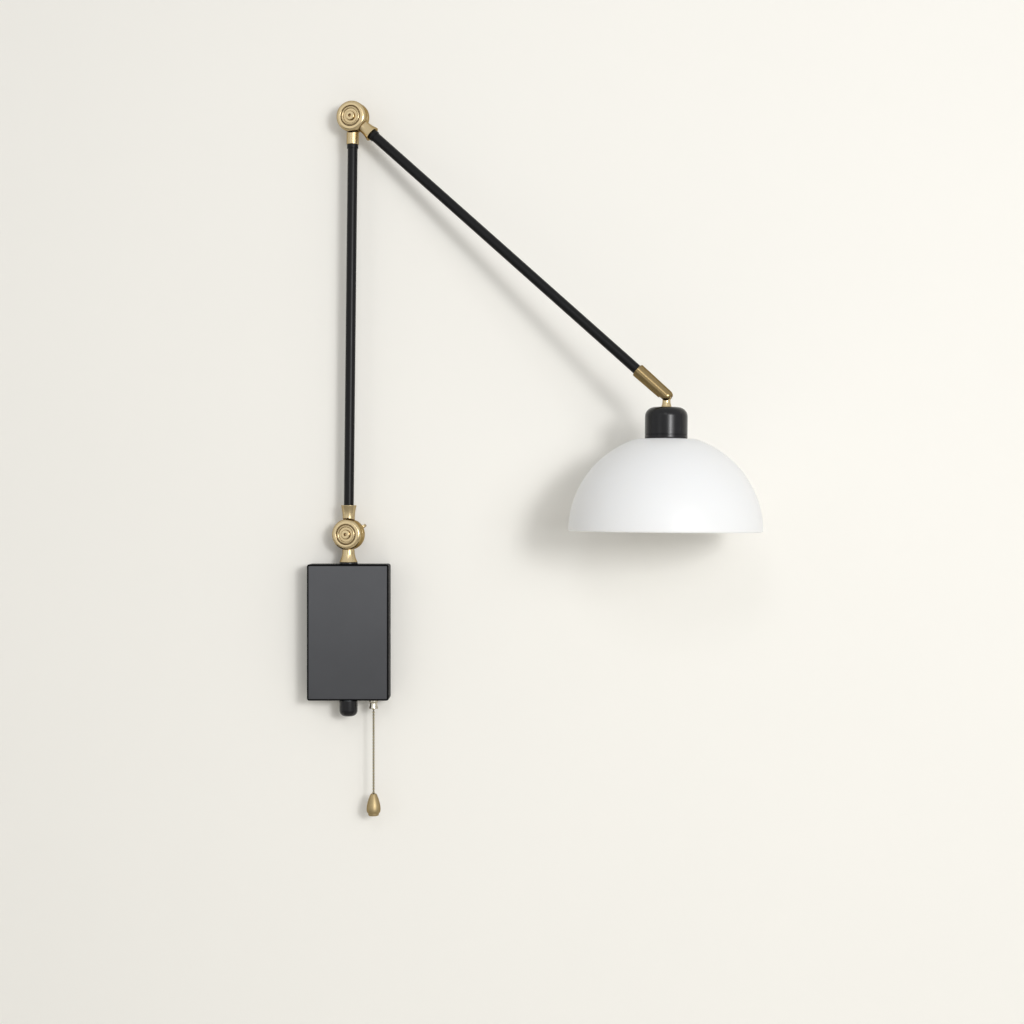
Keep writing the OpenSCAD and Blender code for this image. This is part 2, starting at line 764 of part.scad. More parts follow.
module wing_nut(turn) {
  hub_r = pivot_r + 2.4;
  flange_t = 1.2;
  tip_r = 2.6;
  rotate([-90, 0, 0]) translate([0, 0, half_t]) rotate([0, 0, turn]) difference() {
    union() {
      cylinder(r = hub_r + 1.4, h = flange_t);
      cylinder(r1 = hub_r, r2 = hub_r - 0.8, h = wing_nut_h - 1);
      for (side = [0, 180]) rotate([0, 0, side]) translate([0, wing_t / 2, 0]) rotate([90, 0, 0])
        linear_extrude(height = wing_t) {
          translate([wing_reach - tip_r, wing_nut_h - tip_r]) circle(r = tip_r);
          polygon([[pivot_r + 1, flange_t], [hub_r + 1, flange_t],
            [wing_reach - tip_r + 1.6, wing_nut_h - 2 * tip_r + 0.6], [wing_reach - tip_r, wing_nut_h],
            [hub_r, wing_nut_h - 1.5], [pivot_r + 1, wing_nut_h - 1.5]]);
        }
    }
    translate([0, 0, -overcut]) cylinder(r = pivot_r + running_gap, h = wing_nut_h + 2 * overcut);
  }
}

module base_knuckle() {
  color(brass_tone) along_base() front_half(base_stub_len, base_flare_d / 2, shaft_r + fit_gap, tube_seat)
    trim_recess();
}

module base_friction_washer() {
  color(black_tone) along_base() friction_washer();
}

module base_trim_ring() {
  color(brass_tone) along_base() trim_ring();
}

module base_pivot_screw() {
  color(brass_tone) along_base() pivot_screw();
}

module base_wing_nut() {
  color(brass_tone) along_base() wing_nut(54);
}

module foot_knuckle() {
  color(brass_tone) along_lower() mirror([0, 1, 0])
    front_half(foot_stub_len, foot_flare_d / 2, seat_r, tube_seat);
}

module elbow_back_half() {
  color(brass_tone) along_lower() translate([lower_len, 0, 0]) rotate([0, 180, 0]) mirror([0, 1, 0])
    front_half(elbow_stub_len, stub_d / 2 + 0.1, seat_r, tube_seat);
}

module elbow_front_half() {
  color(brass_tone) along_upper() front_half(elbow_stub_len, elbow_flare_d / 2, seat_r, tube_seat)
    trim_recess();
}

module elbow_friction_washer() {
  color(black_tone) along_upper() friction_washer();
}

module elbow_trim_ring() {
  color(brass_tone) along_upper() trim_ring();
}

module elbow_pivot_screw() {
  color(brass_tone) along_upper() pivot_screw();
}

module elbow_wing_nut() {
  color(brass_tone) along_upper() wing_nut(17);
}

// Arms
module arm_tube(start) {
  translate([start, 0, 0]) rotate([0, 90, 0]) ring(tube_r, tube_bore_r, tube_show + 2 * tube_seat);
}

module lower_tube() {
  color(black_tone) along_lower() arm_tube(foot_stub_len - tube_seat);
}

module upper_tube() {
  color(black_tone) along_upper() arm_tube(elbow_stub_len - tube_seat);
}

module lower_arm_lead() {
  color(black_tone) along_lower() wire([[lead_turn_r, lead_turn_n, 0], [lead_bend_x, 0, 0],
    [lower_len - lead_bend_x, 0, 0], [lower_len - lead_turn_r, lead_turn_n, 0]], lead_d / 2);
}

module upper_arm_lead() {
  color(black_tone) along_upper() wire([[lead_turn_r, -lead_turn_n, 0], [lead_bend_x, 0, 0],
    [tilt_dist - ball_d / 2 - 0.5, 0, 0]], lead_d / 2);
}

module nosed_profile(start_r, nose_r, len) {
  nose_at = len - nose_r;
  polygon([[0, 0], [start_r, 0], [nose_r, nose_at], [0, nose_at]]);
  intersection() {
    translate([0, nose_at]) circle(r = nose_r);
    translate([0, nose_at - 0.01]) square([nose_r + overcut, nose_r + overcut]);
  }
}

module end_barrel() {
  ball_bore_r = ball_d / 2 + 0.1;
  bore_len = barrel_len - tip_r + ball_bore_r + overcut;
  color("#9a8557") along_upper() difference() {
    translate([barrel_start, 0, 0]) rotate([0, 90, 0]) difference() {
      rotate_extrude() nosed_profile(barrel_d / 2, tip_r, barrel_len);
      translate([0, 0, -overcut]) rotate_extrude() nosed_profile(ball_bore_r, ball_bore_r, bore_len);
    }
    translate([tilt_dist, slot_w / 2, 0]) rotate([90, 0, 0])
      linear_extrude(height = slot_w) slot_outline(barrel_d);
  }
}

module slot_outline(reach) {
  low_side = slot_w / 2 * [-sin(slot_low), -cos(slot_low)];
  high_side = slot_w / 2 * [sin(slot_high), cos(slot_high)];
  low_way = reach * [cos(slot_low), -sin(slot_low)];
  high_way = reach * [cos(slot_high), -sin(slot_high)];
  polygon([high_side, high_side + high_way, 1.2 * (high_way + low_way), low_side + low_way, low_side]);
}

// Head: distances run down from the ball's centre
module neck() {
  color(brass_tone) down_head() difference() {
    union() {
      sphere(d = ball_d);
      cylinder(d = stem_d, h = tip_r + clear_gap + 0.1);
      translate([0, 0, tip_r + clear_gap])
        cylinder(d1 = stem_d, d2 = neck_foot_d, h = neck_drop - tip_r - clear_gap);
      translate([0, 0, neck_drop - overcut]) cylinder(d = neck_thread_d, h = neck_thread_len + overcut);
    }
    translate([0, 0, -ball_d]) cylinder(d = neck_bore_d, h = ball_d + neck_drop + neck_thread_len + overcut);
    translate([0, 0, -ball_d / 2 - 0.2]) cylinder(d1 = ball_d - 1.2, d2 = neck_bore_d, h = 3);
  }
}

module cup_profile(r, h, shoulder) {
  square([r, h - shoulder]);
  square([r - shoulder, h]);
  intersection() {
    translate([r - shoulder, h - shoulder]) circle(r = shoulder);
    translate([r - shoulder, h - shoulder]) square(shoulder + overcut);
  }
}

module cup() {
  cup_r = cup_d / 2;
  color(black_tone) down_head() translate([0, 0, neck_drop + cup_h]) rotate([180, 0, 0]) difference() {
    rotate_extrude() cup_profile(cup_r, cup_h, cup_shoulder_r);
    rotate_extrude() translate([0, -overcut])
      cup_profile(cup_r - cup_wall, cup_h - cup_wall + overcut, cup_shoulder_r - cup_wall);
    cylinder(d = neck_thread_d + 2 * hair_gap, h = cup_h + overcut);
  }
}

module cup_nut() {
  color(brass_tone) down_head() translate([0, 0, neck_drop + cup_wall]) difference() {
    hexagon(cup_nut_af, cup_nut_t);
    translate([0, 0, -overcut]) cylinder(d = neck_thread_d + 2 * fit_gap, h = cup_nut_t + 2 * overcut);
  }
}

module lampholder() {
  color(nylon_tone) down_head() translate([0, 0, holder_top_d]) difference() {
    cylinder(r = holder_r, h = holder_len);
    translate([0, 0, holder_floor]) cylinder(r = shell_out_r, h = holder_len);
    translate([0, 0, -overcut]) cylinder(d = neck_thread_d + 2 * fit_gap, h = holder_floor + 2 * overcut);
  }
}

module lampholder_shell() {
  color(brass_tone) down_head() translate([0, 0, shell_top_d]) difference() {
    cylinder(r = shell_out_r, h = holder_len - holder_floor - 1);
    translate([0, 0, shell_t]) cylinder(r = shell_in_r, h = holder_len);
    translate([0, 0, -overcut]) cylinder(d = neck_thread_d + 6, h = shell_t + 2 * overcut);
  }
}

module lampholder_contact() {
  color(brass_tone) down_head() translate([0, 0, shell_top_d]) {
    ring(neck_thread_d / 2 + 2.4, neck_bore_d / 2, 1);
    translate([neck_bore_d / 2 + 2, 0, 0]) cylinder(r = 1.2, h = contact_h - 0.5);
    translate([0, 0, contact_h - 1]) cylinder(r = neck_bore_d / 2 + 4, h = 1);
  }
}

module head_lead() {
  start_d = -ball_d / 2 + 1;
  color(black_tone) down_head() translate([0, 0, start_d])
    cylinder(d = lead_d, h = shell_top_d + 0.8 - start_d);
}

module shade_gasket() {
  color(black_tone) down_head() translate([0, 0, neck_drop + cup_h])
    ring(cup_d / 2 - 0.1, holder_r + glass_gap, gasket_t);
}

module glass_shade() {
  inner_r = shade_r - glass_t;
  inner_h = shade_h - glass_t;
  color(opal_tone) down_head() translate([0, 0, rim_d]) rotate([180, 0, 0]) difference() {
    intersection() {
      sphere(r = shade_r, $fn = 96);
      cylinder(r = shade_r + overcut, h = shade_h);
    }
    intersection() {
      sphere(r = inner_r, $fn = 96);
      translate([0, 0, -overcut]) cylinder(r = shade_r + overcut, h = inner_h + overcut);
    }
    cylinder(r = holder_r + glass_gap, h = shade_h + overcut);
  }
}

module clamp_ring() {
  color(black_tone) down_head() translate([0, 0, glass_top_d + glass_t]) difference() {
    union() {
      ring(clamp_ring_d / 2, holder_r + fit_gap, clamp_ring_t * 0.4);
      ring(clamp_ring_d / 2 - 1.2, holder_r + fit_gap, clamp_ring_t);
    }
  }
}

module bulb_cap() {
  cap_r = bulb_cap_d / 2;
  color(steel_tone) down_head() translate([0, 0, bulb_start_d]) difference() {
    union() {
      cylinder(r = 4.5, h = 2);
      translate([0, 0, 1]) cylinder(r1 = 5.5, r2 = cap_r - 1, h = 4);
      for (i = [0 : 4]) translate([0, 0, 5 + i * 3]) {
        cylinder(r1 = cap_r - 1, r2 = cap_r, h = 1.5);
        translate([0, 0, 1.5]) cylinder(r1 = cap_r, r2 = cap_r - 1, h = 1.5);
      }
      translate([0, 0, 19.9]) cylinder(r = cap_r - 0.6, h = bulb_cap_len - 19.9);
    }
    translate([0, 0, 5]) cylinder(r = cap_r - bulb_cap_wall, h = bulb_cap_len);
  }
}

module bulb_profile(shrink) {
  ball_r = bulb_d / 2;
  centre = bulb_len - ball_r;
  throat_r = bulb_cap_d / 2 - bulb_cap_wall - 0.2;
  widen_r = ball_r * sin(55);
  widen_d = centre - ball_r * cos(55);
  polygon([[0, bulb_cap_len - 4], [throat_r - shrink, bulb_cap_len - 4],
    [throat_r - shrink, bulb_cap_len + 2], [widen_r - shrink, widen_d], [0, widen_d]]);
  intersection() {
    translate([0, centre]) circle(r = ball_r - shrink);
    translate([0, widen_d - 0.01]) square([ball_r + overcut, bulb_len]);
  }
}

module bulb_glass() {
  color("#f6f5ef") down_head() translate([0, 0, bulb_start_d]) difference() {
    rotate_extrude() bulb_profile(0);
    rotate_extrude() bulb_profile(bulb_glass_t);
  }
}

// Pull chain
module pull_link() {
  color(steel_tone) {
    at_switch(switch_base_z + plunger_top) sphere(d = bead_d);
    at_switch(pull_bead_z) cylinder(d = link_d, h = switch_base_z + plunger_top - pull_bead_z);
    at_switch(pull_bead_z) sphere(d = bead_d);
  }
}

module chain_hook() {
  color(steel_tone) at_switch(hook_bead_z) {
    cylinder(d = link_d, h = bead_pitch - bead_d / 2 - hair_gap);
    sphere(d = bead_d);
  }
}

module ball_chain() {
  top_link_z = hook_bead_z - bead_d / 2 - hair_gap;
  color(steel_tone) {
    for (i = [1 : bead_count]) at_switch(hook_bead_z - i * bead_pitch) sphere(d = bead_d, $fn = 24);
    at_switch(knob_top_z - 4) cylinder(d = link_d, h = top_link_z - knob_top_z + 4, $fn = 24);
  }
}

module pull_knob() {
  knob_r = knob_d / 2;
  outline = [[0, 0], [0.38, 0], [0.46, 0.03], [0.52, 0.08], [0.62, 0.16], [0.74, 0.26], [0.84, 0.37],
    [0.92, 0.47], [0.97, 0.58], [1, 0.69], [0.98, 0.78], [0.9, 0.85], [0.75, 0.88], [0.75, 0.93],
    [0.68, 0.98], [0.56, 1], [0, 1]];
  color(brass_tone) at_switch(knob_top_z) rotate([180, 0, 0]) difference() {
    rotate_extrude() polygon([for (p = outline) [p[0] * knob_r, p[1] * knob_len]]);
    translate([0, 0, -overcut]) cylinder(d = link_d + 0.1, h = 5 + overcut);
  }
}

back_plate();
box_cover();
cover_screws();
inlet_bush();
terminal_block();
terminal_screws();
earth_screw();
earth_wire();
top_bush();
bottom_bush();
swivel_washer();
pull_switch();
bell_nozzle();
switch_wire();
lamp_lead_tail();
swivel_shaft();
base_knuckle();
spring_washer();
lock_nut();
bottom_cap();
swivel_lead();
base_friction_washer();
base_trim_ring();
base_pivot_screw();
base_wing_nut();
foot_knuckle();
lower_tube();
elbow_back_half();
lower_arm_lead();
elbow_front_half();
elbow_friction_washer();
elbow_trim_ring();
elbow_pivot_screw();
elbow_wing_nut();
upper_tube();
end_barrel();
upper_arm_lead();
neck();
cup();
cup_nut();
head_lead();
lampholder();
lampholder_shell();
lampholder_contact();
shade_gasket();
glass_shade();
clamp_ring();
bulb_cap();
bulb_glass();
pull_link();
chain_hook();
ball_chain();
pull_knob();
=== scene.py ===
import json
import math

import bmesh
import bpy
from mathutils import Matrix, Vector


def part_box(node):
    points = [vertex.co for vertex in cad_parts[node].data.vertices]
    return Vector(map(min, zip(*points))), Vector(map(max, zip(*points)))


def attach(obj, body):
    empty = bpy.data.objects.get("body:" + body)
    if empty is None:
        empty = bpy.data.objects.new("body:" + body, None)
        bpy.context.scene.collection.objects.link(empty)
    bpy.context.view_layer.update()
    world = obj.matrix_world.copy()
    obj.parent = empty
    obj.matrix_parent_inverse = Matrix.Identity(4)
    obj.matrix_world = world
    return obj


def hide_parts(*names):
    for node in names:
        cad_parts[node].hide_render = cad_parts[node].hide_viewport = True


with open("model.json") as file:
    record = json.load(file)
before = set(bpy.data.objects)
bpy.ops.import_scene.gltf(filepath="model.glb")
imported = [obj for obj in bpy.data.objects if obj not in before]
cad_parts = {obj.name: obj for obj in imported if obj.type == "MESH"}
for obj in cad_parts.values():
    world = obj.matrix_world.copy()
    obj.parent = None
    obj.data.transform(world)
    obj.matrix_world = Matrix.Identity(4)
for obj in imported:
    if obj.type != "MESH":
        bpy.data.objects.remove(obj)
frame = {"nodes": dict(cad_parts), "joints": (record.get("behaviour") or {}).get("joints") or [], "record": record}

bl_info = {
    "name": "Swing Arm Wall Lamp",
    "version": (1, 0, 0),
    "blender": (4, 5, 0),
    "location": "View3D > Sidebar > Wall Lamp",
    "description": "Models and finishes the pieces of a swing arm wall lamp around its frame of parts",
    "category": "Object",
}

MM = 0.001
CLEAR = 0.1 * MM  # Gap round a part that sits in a hole
SHAFT_FIT = 5.03 * MM  # Radius of the holes that sit tight on the swivel shaft
SCREW_FIT = 0.05 * MM  # Gap round a pivot screw
TOUCH = 0.001 * MM  # Points closer than this are one
CUP_AT = 10.4 * MM  # Distance from the ball's centre to the cup's top
UP = Vector((0, 0, 1))
JOINTS = {joint["name"]: joint for joint in frame["joints"]}
TO_WALL = Vector(JOINTS["base_knuckle_turn"]["axis"])
BASE_PIVOT = Vector(JOINTS["base_knuckle_turn"]["pos_m"])
ELBOW = Vector(JOINTS["elbow_turn"]["pos_m"])
BALL = Vector(JOINTS["shade_tilt"]["pos_m"])
SWIVEL = Vector(JOINTS["arm_swivel"]["pos_m"])
PULL = Vector(JOINTS["chain_sway"]["pos_m"])
LOWER_WAY = (ELBOW - BASE_PIVOT).normalized()
UPPER_WAY = (BALL - ELBOW).normalized()
PLANE_X = TO_WALL.cross(UP)
LAMP_MIDDLE = Vector((0.15, 0, 0.15))
# Brass reflects less at its edges than at its middle, which draws a dark line round each piece.
EDGE_TINT = (0.45, 0.34, 0.2)
HEAD_LEAN = math.radians(0.5)
HEAD_WAY = -math.cos(HEAD_LEAN) * UP - math.sin(HEAD_LEAN) * PLANE_X


def linear(code):
    """The linear colour of an sRGB hex code."""
    channels = [int(code[i:i + 2], 16) / 255 for i in (0, 2, 4)]
    return tuple(c / 12.92 if c <= 0.04045 else ((c + 0.055) / 1.055) ** 2.4 for c in channels)


def size(name, description, millimetres):
    """A length that the user can change, given in millimetres."""
    return bpy.props.FloatProperty(name=name, description=description, default=millimetres * MM, min=0,
                                   subtype="DISTANCE", unit="LENGTH", precision=5)


def tint(name, description, code):
    """A colour that the user can change, given as an sRGB hex code."""
    return bpy.props.FloatVectorProperty(name=name, description=description, default=linear(code),
                                         subtype="COLOR", size=3, min=0, max=1)


def power(name, description, watts):
    """A light's power that the user can change."""
    return bpy.props.FloatProperty(name=name, description=description, default=watts, min=0, subtype="POWER")


class LampSizes(bpy.types.PropertyGroup):
    """Sizes of the pieces, set out from the frame's joints and nodes"""
    sheet: size("Sheet", "Thickness of the wall box's sheet steel", 1.5)
    fold: size("Fold Radius", "Outer radius of the wall box's folded edges", 2.2)
    screw_head: size("Cover Screw Head", "Diameter of the cover screws' countersunk heads", 5.8)
    screw_shank: size("Cover Screw Shank", "Diameter of the cover screws' shanks", 3.8)
    screw_setback: size("Cover Screw Setback", "Distance of the cover screws from the wall", 8.5)
    bush: size("Bush", "Diameter of the shaft bushes", 12.5)
    switch_neck: size("Switch Neck", "Diameter of the pull switch's threaded neck", 5.6)
    disc: size("Disc", "Diameter of the knuckle discs", 29.2)
    half: size("Knuckle Half", "Thickness of one knuckle half from the middle", 8.0)
    mate: size("Mating Gap", "Distance of a knuckle half's mating face from the middle", 0.42)
    shoulder: size("Shoulder", "Radius on the outer shoulder of the discs", 3.0)
    stub: size("Stub", "Diameter of the stubs beside the discs", 11.5)
    stub_gap: size("Stub Gap", "Gap between a disc and the other half's stub", 1.2)
    recess: size("Recess", "Diameter of the recess in the front discs", 18.8)
    recess_depth: size("Recess Depth", "Depth of the recess in the front discs", 1.6)
    trim_bead: size("Trim Bead", "Thickness of the round bead on the trim rings", 1.9)
    screw: size("Pivot Screw", "Diameter of the pivot screws", 5.0)
    screw_cap: size("Pivot Screw Head", "Diameter of the pivot screws' heads", 8.6)
    socket: size("Socket", "Width of the hexagon sockets across their flats", 3.0)
    wing_reach: size("Wing Reach", "Radius from the pivot to the tip of a wing", 15.8)
    wing: size("Wing", "Thickness of the wing nuts' wings", 2.4)
    nut_height: size("Wing Nut Height", "Height of the wing nuts", 8.0)
    tube: size("Tube", "Outer diameter of the arm tubes", 9.5)
    tube_wall: size("Tube Wall", "Wall thickness of the arm tubes", 1.0)
    seat: size("Tube Seat", "Depth to which a tube is seated in its stub", 7.0)
    barrel: size("Barrel", "Diameter of the end barrel where the tube enters", 12.9)
    barrel_tip: size("Barrel Tip", "Diameter of the end barrel's round tip", 11.7)
    barrel_length: size("Barrel Length", "Length of the end barrel", 42.0)
    ball: size("Ball", "Diameter of the neck's ball", 9.4)
    stem: size("Stem", "Diameter of the neck's stem in the barrel's slot", 7.2)
    cup: size("Cup", "Outer diameter of the cup", 39.0)
    cup_height: size("Cup Height", "Height of the cup", 28.2)
    cup_shoulder: size("Cup Shoulder", "Radius on the cup's shoulder", 8.6)
    shade: size("Shade", "Outer diameter of the glass shade", 177.8)
    shade_height: size("Shade Height", "Height of the glass shade", 84.6)
    glass: size("Glass", "Thickness of the shade's glass", 3.0)
    bead: size("Bead", "Diameter of the chain's beads", 2.4)
    bead_pitch: size("Bead Pitch", "Distance between the chain's beads", 2.95)
    link: size("Link", "Diameter of the wire between the beads", 0.8)


class LampColours(bpy.types.PropertyGroup):
    """Colours of the finishes"""
    # This grey is a painted sheen for the box's flat front; the lacquer itself, on the folds and sides, is the
    # black enamel taken down to 0.6.
    lacquer: tint("Box Lacquer", "Satin lacquer on the wall box", "4f5053")
    enamel: tint("Black Enamel", "Black enamel on the tubes, cap and cup", "0e0e10")
    brass: tint("Brass", "Lacquered brass of the knuckles", "c4b28d")
    # Tarnish also sets the colour of the painted shade and grime in the hollows of the knob and of the inner
    # brass.
    tarnish: tint("Brass Tarnish", "Older brass in the hollows", "a38c60")
    bronze: tint("Bronze", "Dark bronze of the end barrel", "b39c70")
    chain: tint("Chain", "Olive brass of the bead chain", "b9ad8a")
    knob: tint("Knob", "Brass of the pull knob", "ab9973")
    opal: tint("Opal Glass", "Milk white of the shade", "edeeef")
    plaster: tint("Wall", "Matt paint on the wall behind the lamp", "f5f3ed")


class LampStage(bpy.types.PropertyGroup):
    """Camera and light"""
    camera_place: bpy.props.FloatVectorProperty(
        name="Camera Place", description="Where the camera stands; it looks straight at the wall",
        default=(156.5 * MM, -1802 * MM, 114.9 * MM), subtype="XYZ", unit="LENGTH", size=3)
    lens: bpy.props.FloatProperty(name="Lens", description="Focal length in millimetres", default=65.39,
                                  min=10, max=300)
    lamp_power: power("Lamp", "Power of the small lamp that draws the shadows", 16)
    window_power: power("Window", "Power of the soft light from the right", 17.1)
    left_power: power("Left", "Power of the faint light from the left", 2.5)
    gleam_power: power("Gleam", "Power of the light high in front that draws the end barrel's streak", 4.0)
    room: bpy.props.FloatProperty(name="Room", description="Strength of the light from all around",
                                  default=0.43, min=0, max=1)


def axes(origin, z_way, y_way):
    """A place whose Z axis runs along z_way and whose Y axis leans to y_way."""
    z = z_way.normalized()
    x = y_way.cross(z).normalized()
    y = z.cross(x)
    turn = Matrix((x, y, z)).transposed().to_4x4()
    return Matrix.Translation(origin) @ turn


def on_axis(joint, height, way=UP):
    """A place on a joint's upright axis, at this height."""
    return axes(Vector((joint.x, joint.y, height)), way, TO_WALL)


def pick_only(*objects):
    """Selects these objects and nothing else; the first one becomes active."""
    if bpy.context.mode != "OBJECT":
        bpy.ops.object.mode_set(mode="OBJECT")
    bpy.ops.object.select_all(action="DESELECT")
    for each in objects:
        each.select_set(True)
    if objects:
        bpy.context.view_layer.objects.active = objects[0]


def edit(piece):
    """Opens a piece in edit mode with nothing selected."""
    pick_only(piece)
    bpy.ops.object.mode_set(mode="EDIT")
    bpy.ops.mesh.select_mode(type="VERT")
    bpy.ops.mesh.select_all(action="DESELECT")


def pick(piece, kind, wanted):
    """Selects, in edit mode, the vertices, edges or faces for which wanted is true."""
    bpy.ops.mesh.select_mode(type=kind)
    bpy.ops.mesh.select_all(action="DESELECT")
    mesh = bmesh.from_edit_mesh(piece.data)
    group = {"VERT": mesh.verts, "EDGE": mesh.edges, "FACE": mesh.faces}[kind]
    for item in group:
        item.select_set(wanted(item))
    bmesh.update_edit_mesh(piece.data)


def modify(piece, kind, **settings):
    """Adds a modifier with its settings and applies it."""
    pick_only(piece)
    bpy.ops.object.modifier_add(type=kind)
    modifier = piece.modifiers[-1]
    for key, value in settings.items():
        setattr(modifier, key, value)
    bpy.ops.object.modifier_apply(modifier=modifier.name)


def combine(piece, tool, operation):
    """Cuts or joins a piece with a tool, which is then deleted."""
    modify(piece, "BOOLEAN", object=tool, operation=operation, solver="EXACT")
    pick_only(tool)
    bpy.ops.object.delete()


def soften(piece, width, segments, angle):
    """Rounds the edges that are sharper than the angle."""
    modify(piece, "BEVEL", width=width, segments=segments, limit_method="ANGLE",
           angle_limit=math.radians(angle), harden_normals=False, miter_outer="MITER_ARC")


def tidy_mesh(piece):
    """Merges doubled points and turns every face outward."""
    edit(piece)
    bpy.ops.mesh.select_all(action="SELECT")
    bpy.ops.mesh.remove_doubles(threshold=TOUCH)
    bpy.ops.mesh.normals_make_consistent(inside=False)
    bpy.ops.object.mode_set(mode="OBJECT")


def move_mesh(piece, place):
    """Moves a piece to its place, and applies that to its mesh."""
    pick_only(piece)
    piece.matrix_world = place
    bpy.ops.object.transform_apply(location=True, rotation=True, scale=True)


def settle(piece, place):
    """Stores each point's place on the piece, for patterns that follow its shape, and then moves its mesh."""
    mesh = piece.data
    own = mesh.attributes.new("own_place", "FLOAT_VECTOR", "POINT")
    for i, vertex in enumerate(mesh.vertices):
        own.data[i].vector = vertex.co
    move_mesh(piece, place)


def draw_outline(name, points, closed):
    """Draws an outline of (across, along, rounding) in the XZ plane by extruding one point, then rounds it."""
    pick_only()
    bpy.ops.mesh.primitive_plane_add(size=MM, location=(0, 0, 0))
    piece = bpy.context.object
    piece.name = name
    piece.data.name = name
    edit(piece)
    bpy.ops.mesh.select_all(action="SELECT")
    bpy.ops.mesh.merge(type="CENTER")
    spots = [Vector((point[0], 0, point[1])) for point in points]
    bpy.ops.transform.translate(value=spots[0])
    for start, end in zip(spots, spots[1:]):
        bpy.ops.mesh.extrude_vertices_move(TRANSFORM_OT_translate={"value": end - start})
    if closed:
        pick(piece, "VERT", lambda v: min((v.co - spots[0]).length, (v.co - spots[-1]).length) < TOUCH)
        bpy.ops.mesh.edge_face_add()
    for rounding in sorted({point[2] for point in points if len(point) > 2}):
        corners = [spot for spot, point in zip(spots, points) if len(point) > 2 and point[2] == rounding]
        pick(piece, "VERT", lambda v: any((v.co - corner).length < TOUCH for corner in corners))
        segments = 3 if rounding < MM else 8
        bpy.ops.mesh.bevel(offset=rounding, segments=segments, affect="VERTICES", profile=0.5)
    return piece


def turned(name, points, place, steps=64, closed=True):
    """A piece turned from an outline of (radius, height, rounding) about its own Z axis, then placed."""
    piece = draw_outline(name, points, closed)
    bpy.ops.mesh.select_all(action="SELECT")
    bpy.ops.mesh.spin(steps=steps, angle=math.tau, center=(0, 0, 0), axis=(0, 0, 1))
    tidy_mesh(piece)
    settle(piece, place)
    return piece


def extruded(name, points, depth, place):
    """A flat outline of (across, along, rounding), as thick as depth and centred on its plane, then placed."""
    piece = draw_outline(name, points, True)
    bpy.ops.mesh.select_all(action="SELECT")
    bpy.ops.mesh.edge_face_add()
    bpy.ops.transform.translate(value=(0, -depth / 2, 0))
    bpy.ops.mesh.extrude_region_move(TRANSFORM_OT_translate={"value": (0, depth, 0)})
    tidy_mesh(piece)
    settle(piece, place)
    return piece


def rod(name, radius, low, high, place, vertices=64):
    """A round or hexagonal rod between two heights on a place's Z axis, to cut or join with."""
    pick_only()
    bpy.ops.mesh.primitive_cylinder_add(vertices=vertices, radius=radius, depth=high - low)
    piece = bpy.context.object
    piece.name = name
    move_mesh(piece, Matrix.Translation((0, 0, (low + high) / 2)))
    settle(piece, place)
    return piece


def block(name, low, high):
    """A block between two corners."""
    pick_only()
    bpy.ops.mesh.primitive_cube_add(size=1, location=(low + high) / 2)
    piece = bpy.context.object
    piece.name = name
    piece.scale = high - low
    bpy.ops.object.transform_apply(location=True, rotation=True, scale=True)
    return piece


def arc(radius, centre, start, end, steps):
    """Points of an arc in an outline, from one angle in degrees to another, measured from straight across."""
    angles = [math.radians(start + (end - start) * i / steps) for i in range(steps + 1)]
    return [(centre[0] + radius * math.cos(a), centre[1] + radius * math.sin(a)) for a in angles]


def dress(piece, body, stands_for, slot, own_finish=None, smooth=32):
    """Shades a finished piece, gives it its own finish or its slot's, and fixes it to its body."""
    pick_only(piece)
    bpy.ops.object.shade_smooth_by_angle(angle=math.radians(smooth))
    modify(piece, "WEIGHTED_NORMAL", keep_sharp=True, weight=80)
    piece.data.materials.clear()
    piece.data.materials.append(finish(own_finish or slot))
    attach(piece, body)
    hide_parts(*stands_for)


def copy_of(piece, name, shift):
    """A copy with its own mesh, moved by shift."""
    pick_only(piece)
    bpy.ops.object.duplicate(linked=False)
    copy = bpy.context.object
    copy.name = name
    copy.data.name = name
    move_mesh(copy, shift)
    return copy


# Materials
def add(tree, kind, sockets=None, **settings):
    """Adds a shader node, with its settings, and fills its sockets with values or with other nodes' outputs."""
    node = tree.nodes.new("ShaderNode" + kind)
    for key, value in settings.items():
        setattr(node, key, value)
    for key, value in (sockets or {}).items():
        if isinstance(value, bpy.types.NodeSocket):
            tree.links.new(value, node.inputs[key])
        else:
            node.inputs[key].default_value = value
    return node


def ramp(tree, value, low, high, start=0.0, end=1.0):
    """Turns the range from low to high into the range from start to end."""
    sockets = {"Value": value, "From Min": low, "From Max": high, "To Min": start, "To Max": end}
    return add(tree, "MapRange", sockets).outputs[0]


def blend(tree, share, first, second):
    """Mixes two colours by a share from 0 to 1."""
    return add(tree, "Mix", {"Factor": share, "A": first, "B": second}, data_type="RGBA").outputs["Result"]


def noise(tree, where, millimetres, detail, roughness=0.5):
    """Noise from 0 to 1 whose patches are about this many millimetres wide."""
    sockets = {"Vector": where, "Scale": per(millimetres), "Detail": detail, "Roughness": roughness}
    return add(tree, "TexNoise", sockets).outputs["Fac"]


def dents(tree, height, strength, depth):
    """The normal of a surface whose dents are this many millimetres deep."""
    return add(tree, "Bump", {"Height": height, "Strength": strength, "Distance": depth * MM}).outputs[0]


def own_place(tree):
    """Each point's place on its own piece, from before the piece was moved."""
    return add(tree, "Attribute", attribute_name="own_place").outputs["Vector"]


def material(name):
    """A new material with an empty node tree, and that tree."""
    made = bpy.data.materials.new(name)
    made.use_nodes = True
    made.node_tree.nodes.clear()
    return made, made.node_tree


def end_in_shader(tree, sockets):
    """Fills the sockets of a shader and leads it to the output."""
    shader = add(tree, "BsdfPrincipled", sockets)
    add(tree, "OutputMaterial", {"Surface": shader.outputs[0]})


def end_in_metal(tree, colour, roughness, normal):
    """Ends a metal's nodes in its shader."""
    end_in_shader(tree, {"Base Color": colour, "Metallic": 1.0, "Roughness": roughness,
                         "Specular Tint": rgba(EDGE_TINT), "Normal": normal})


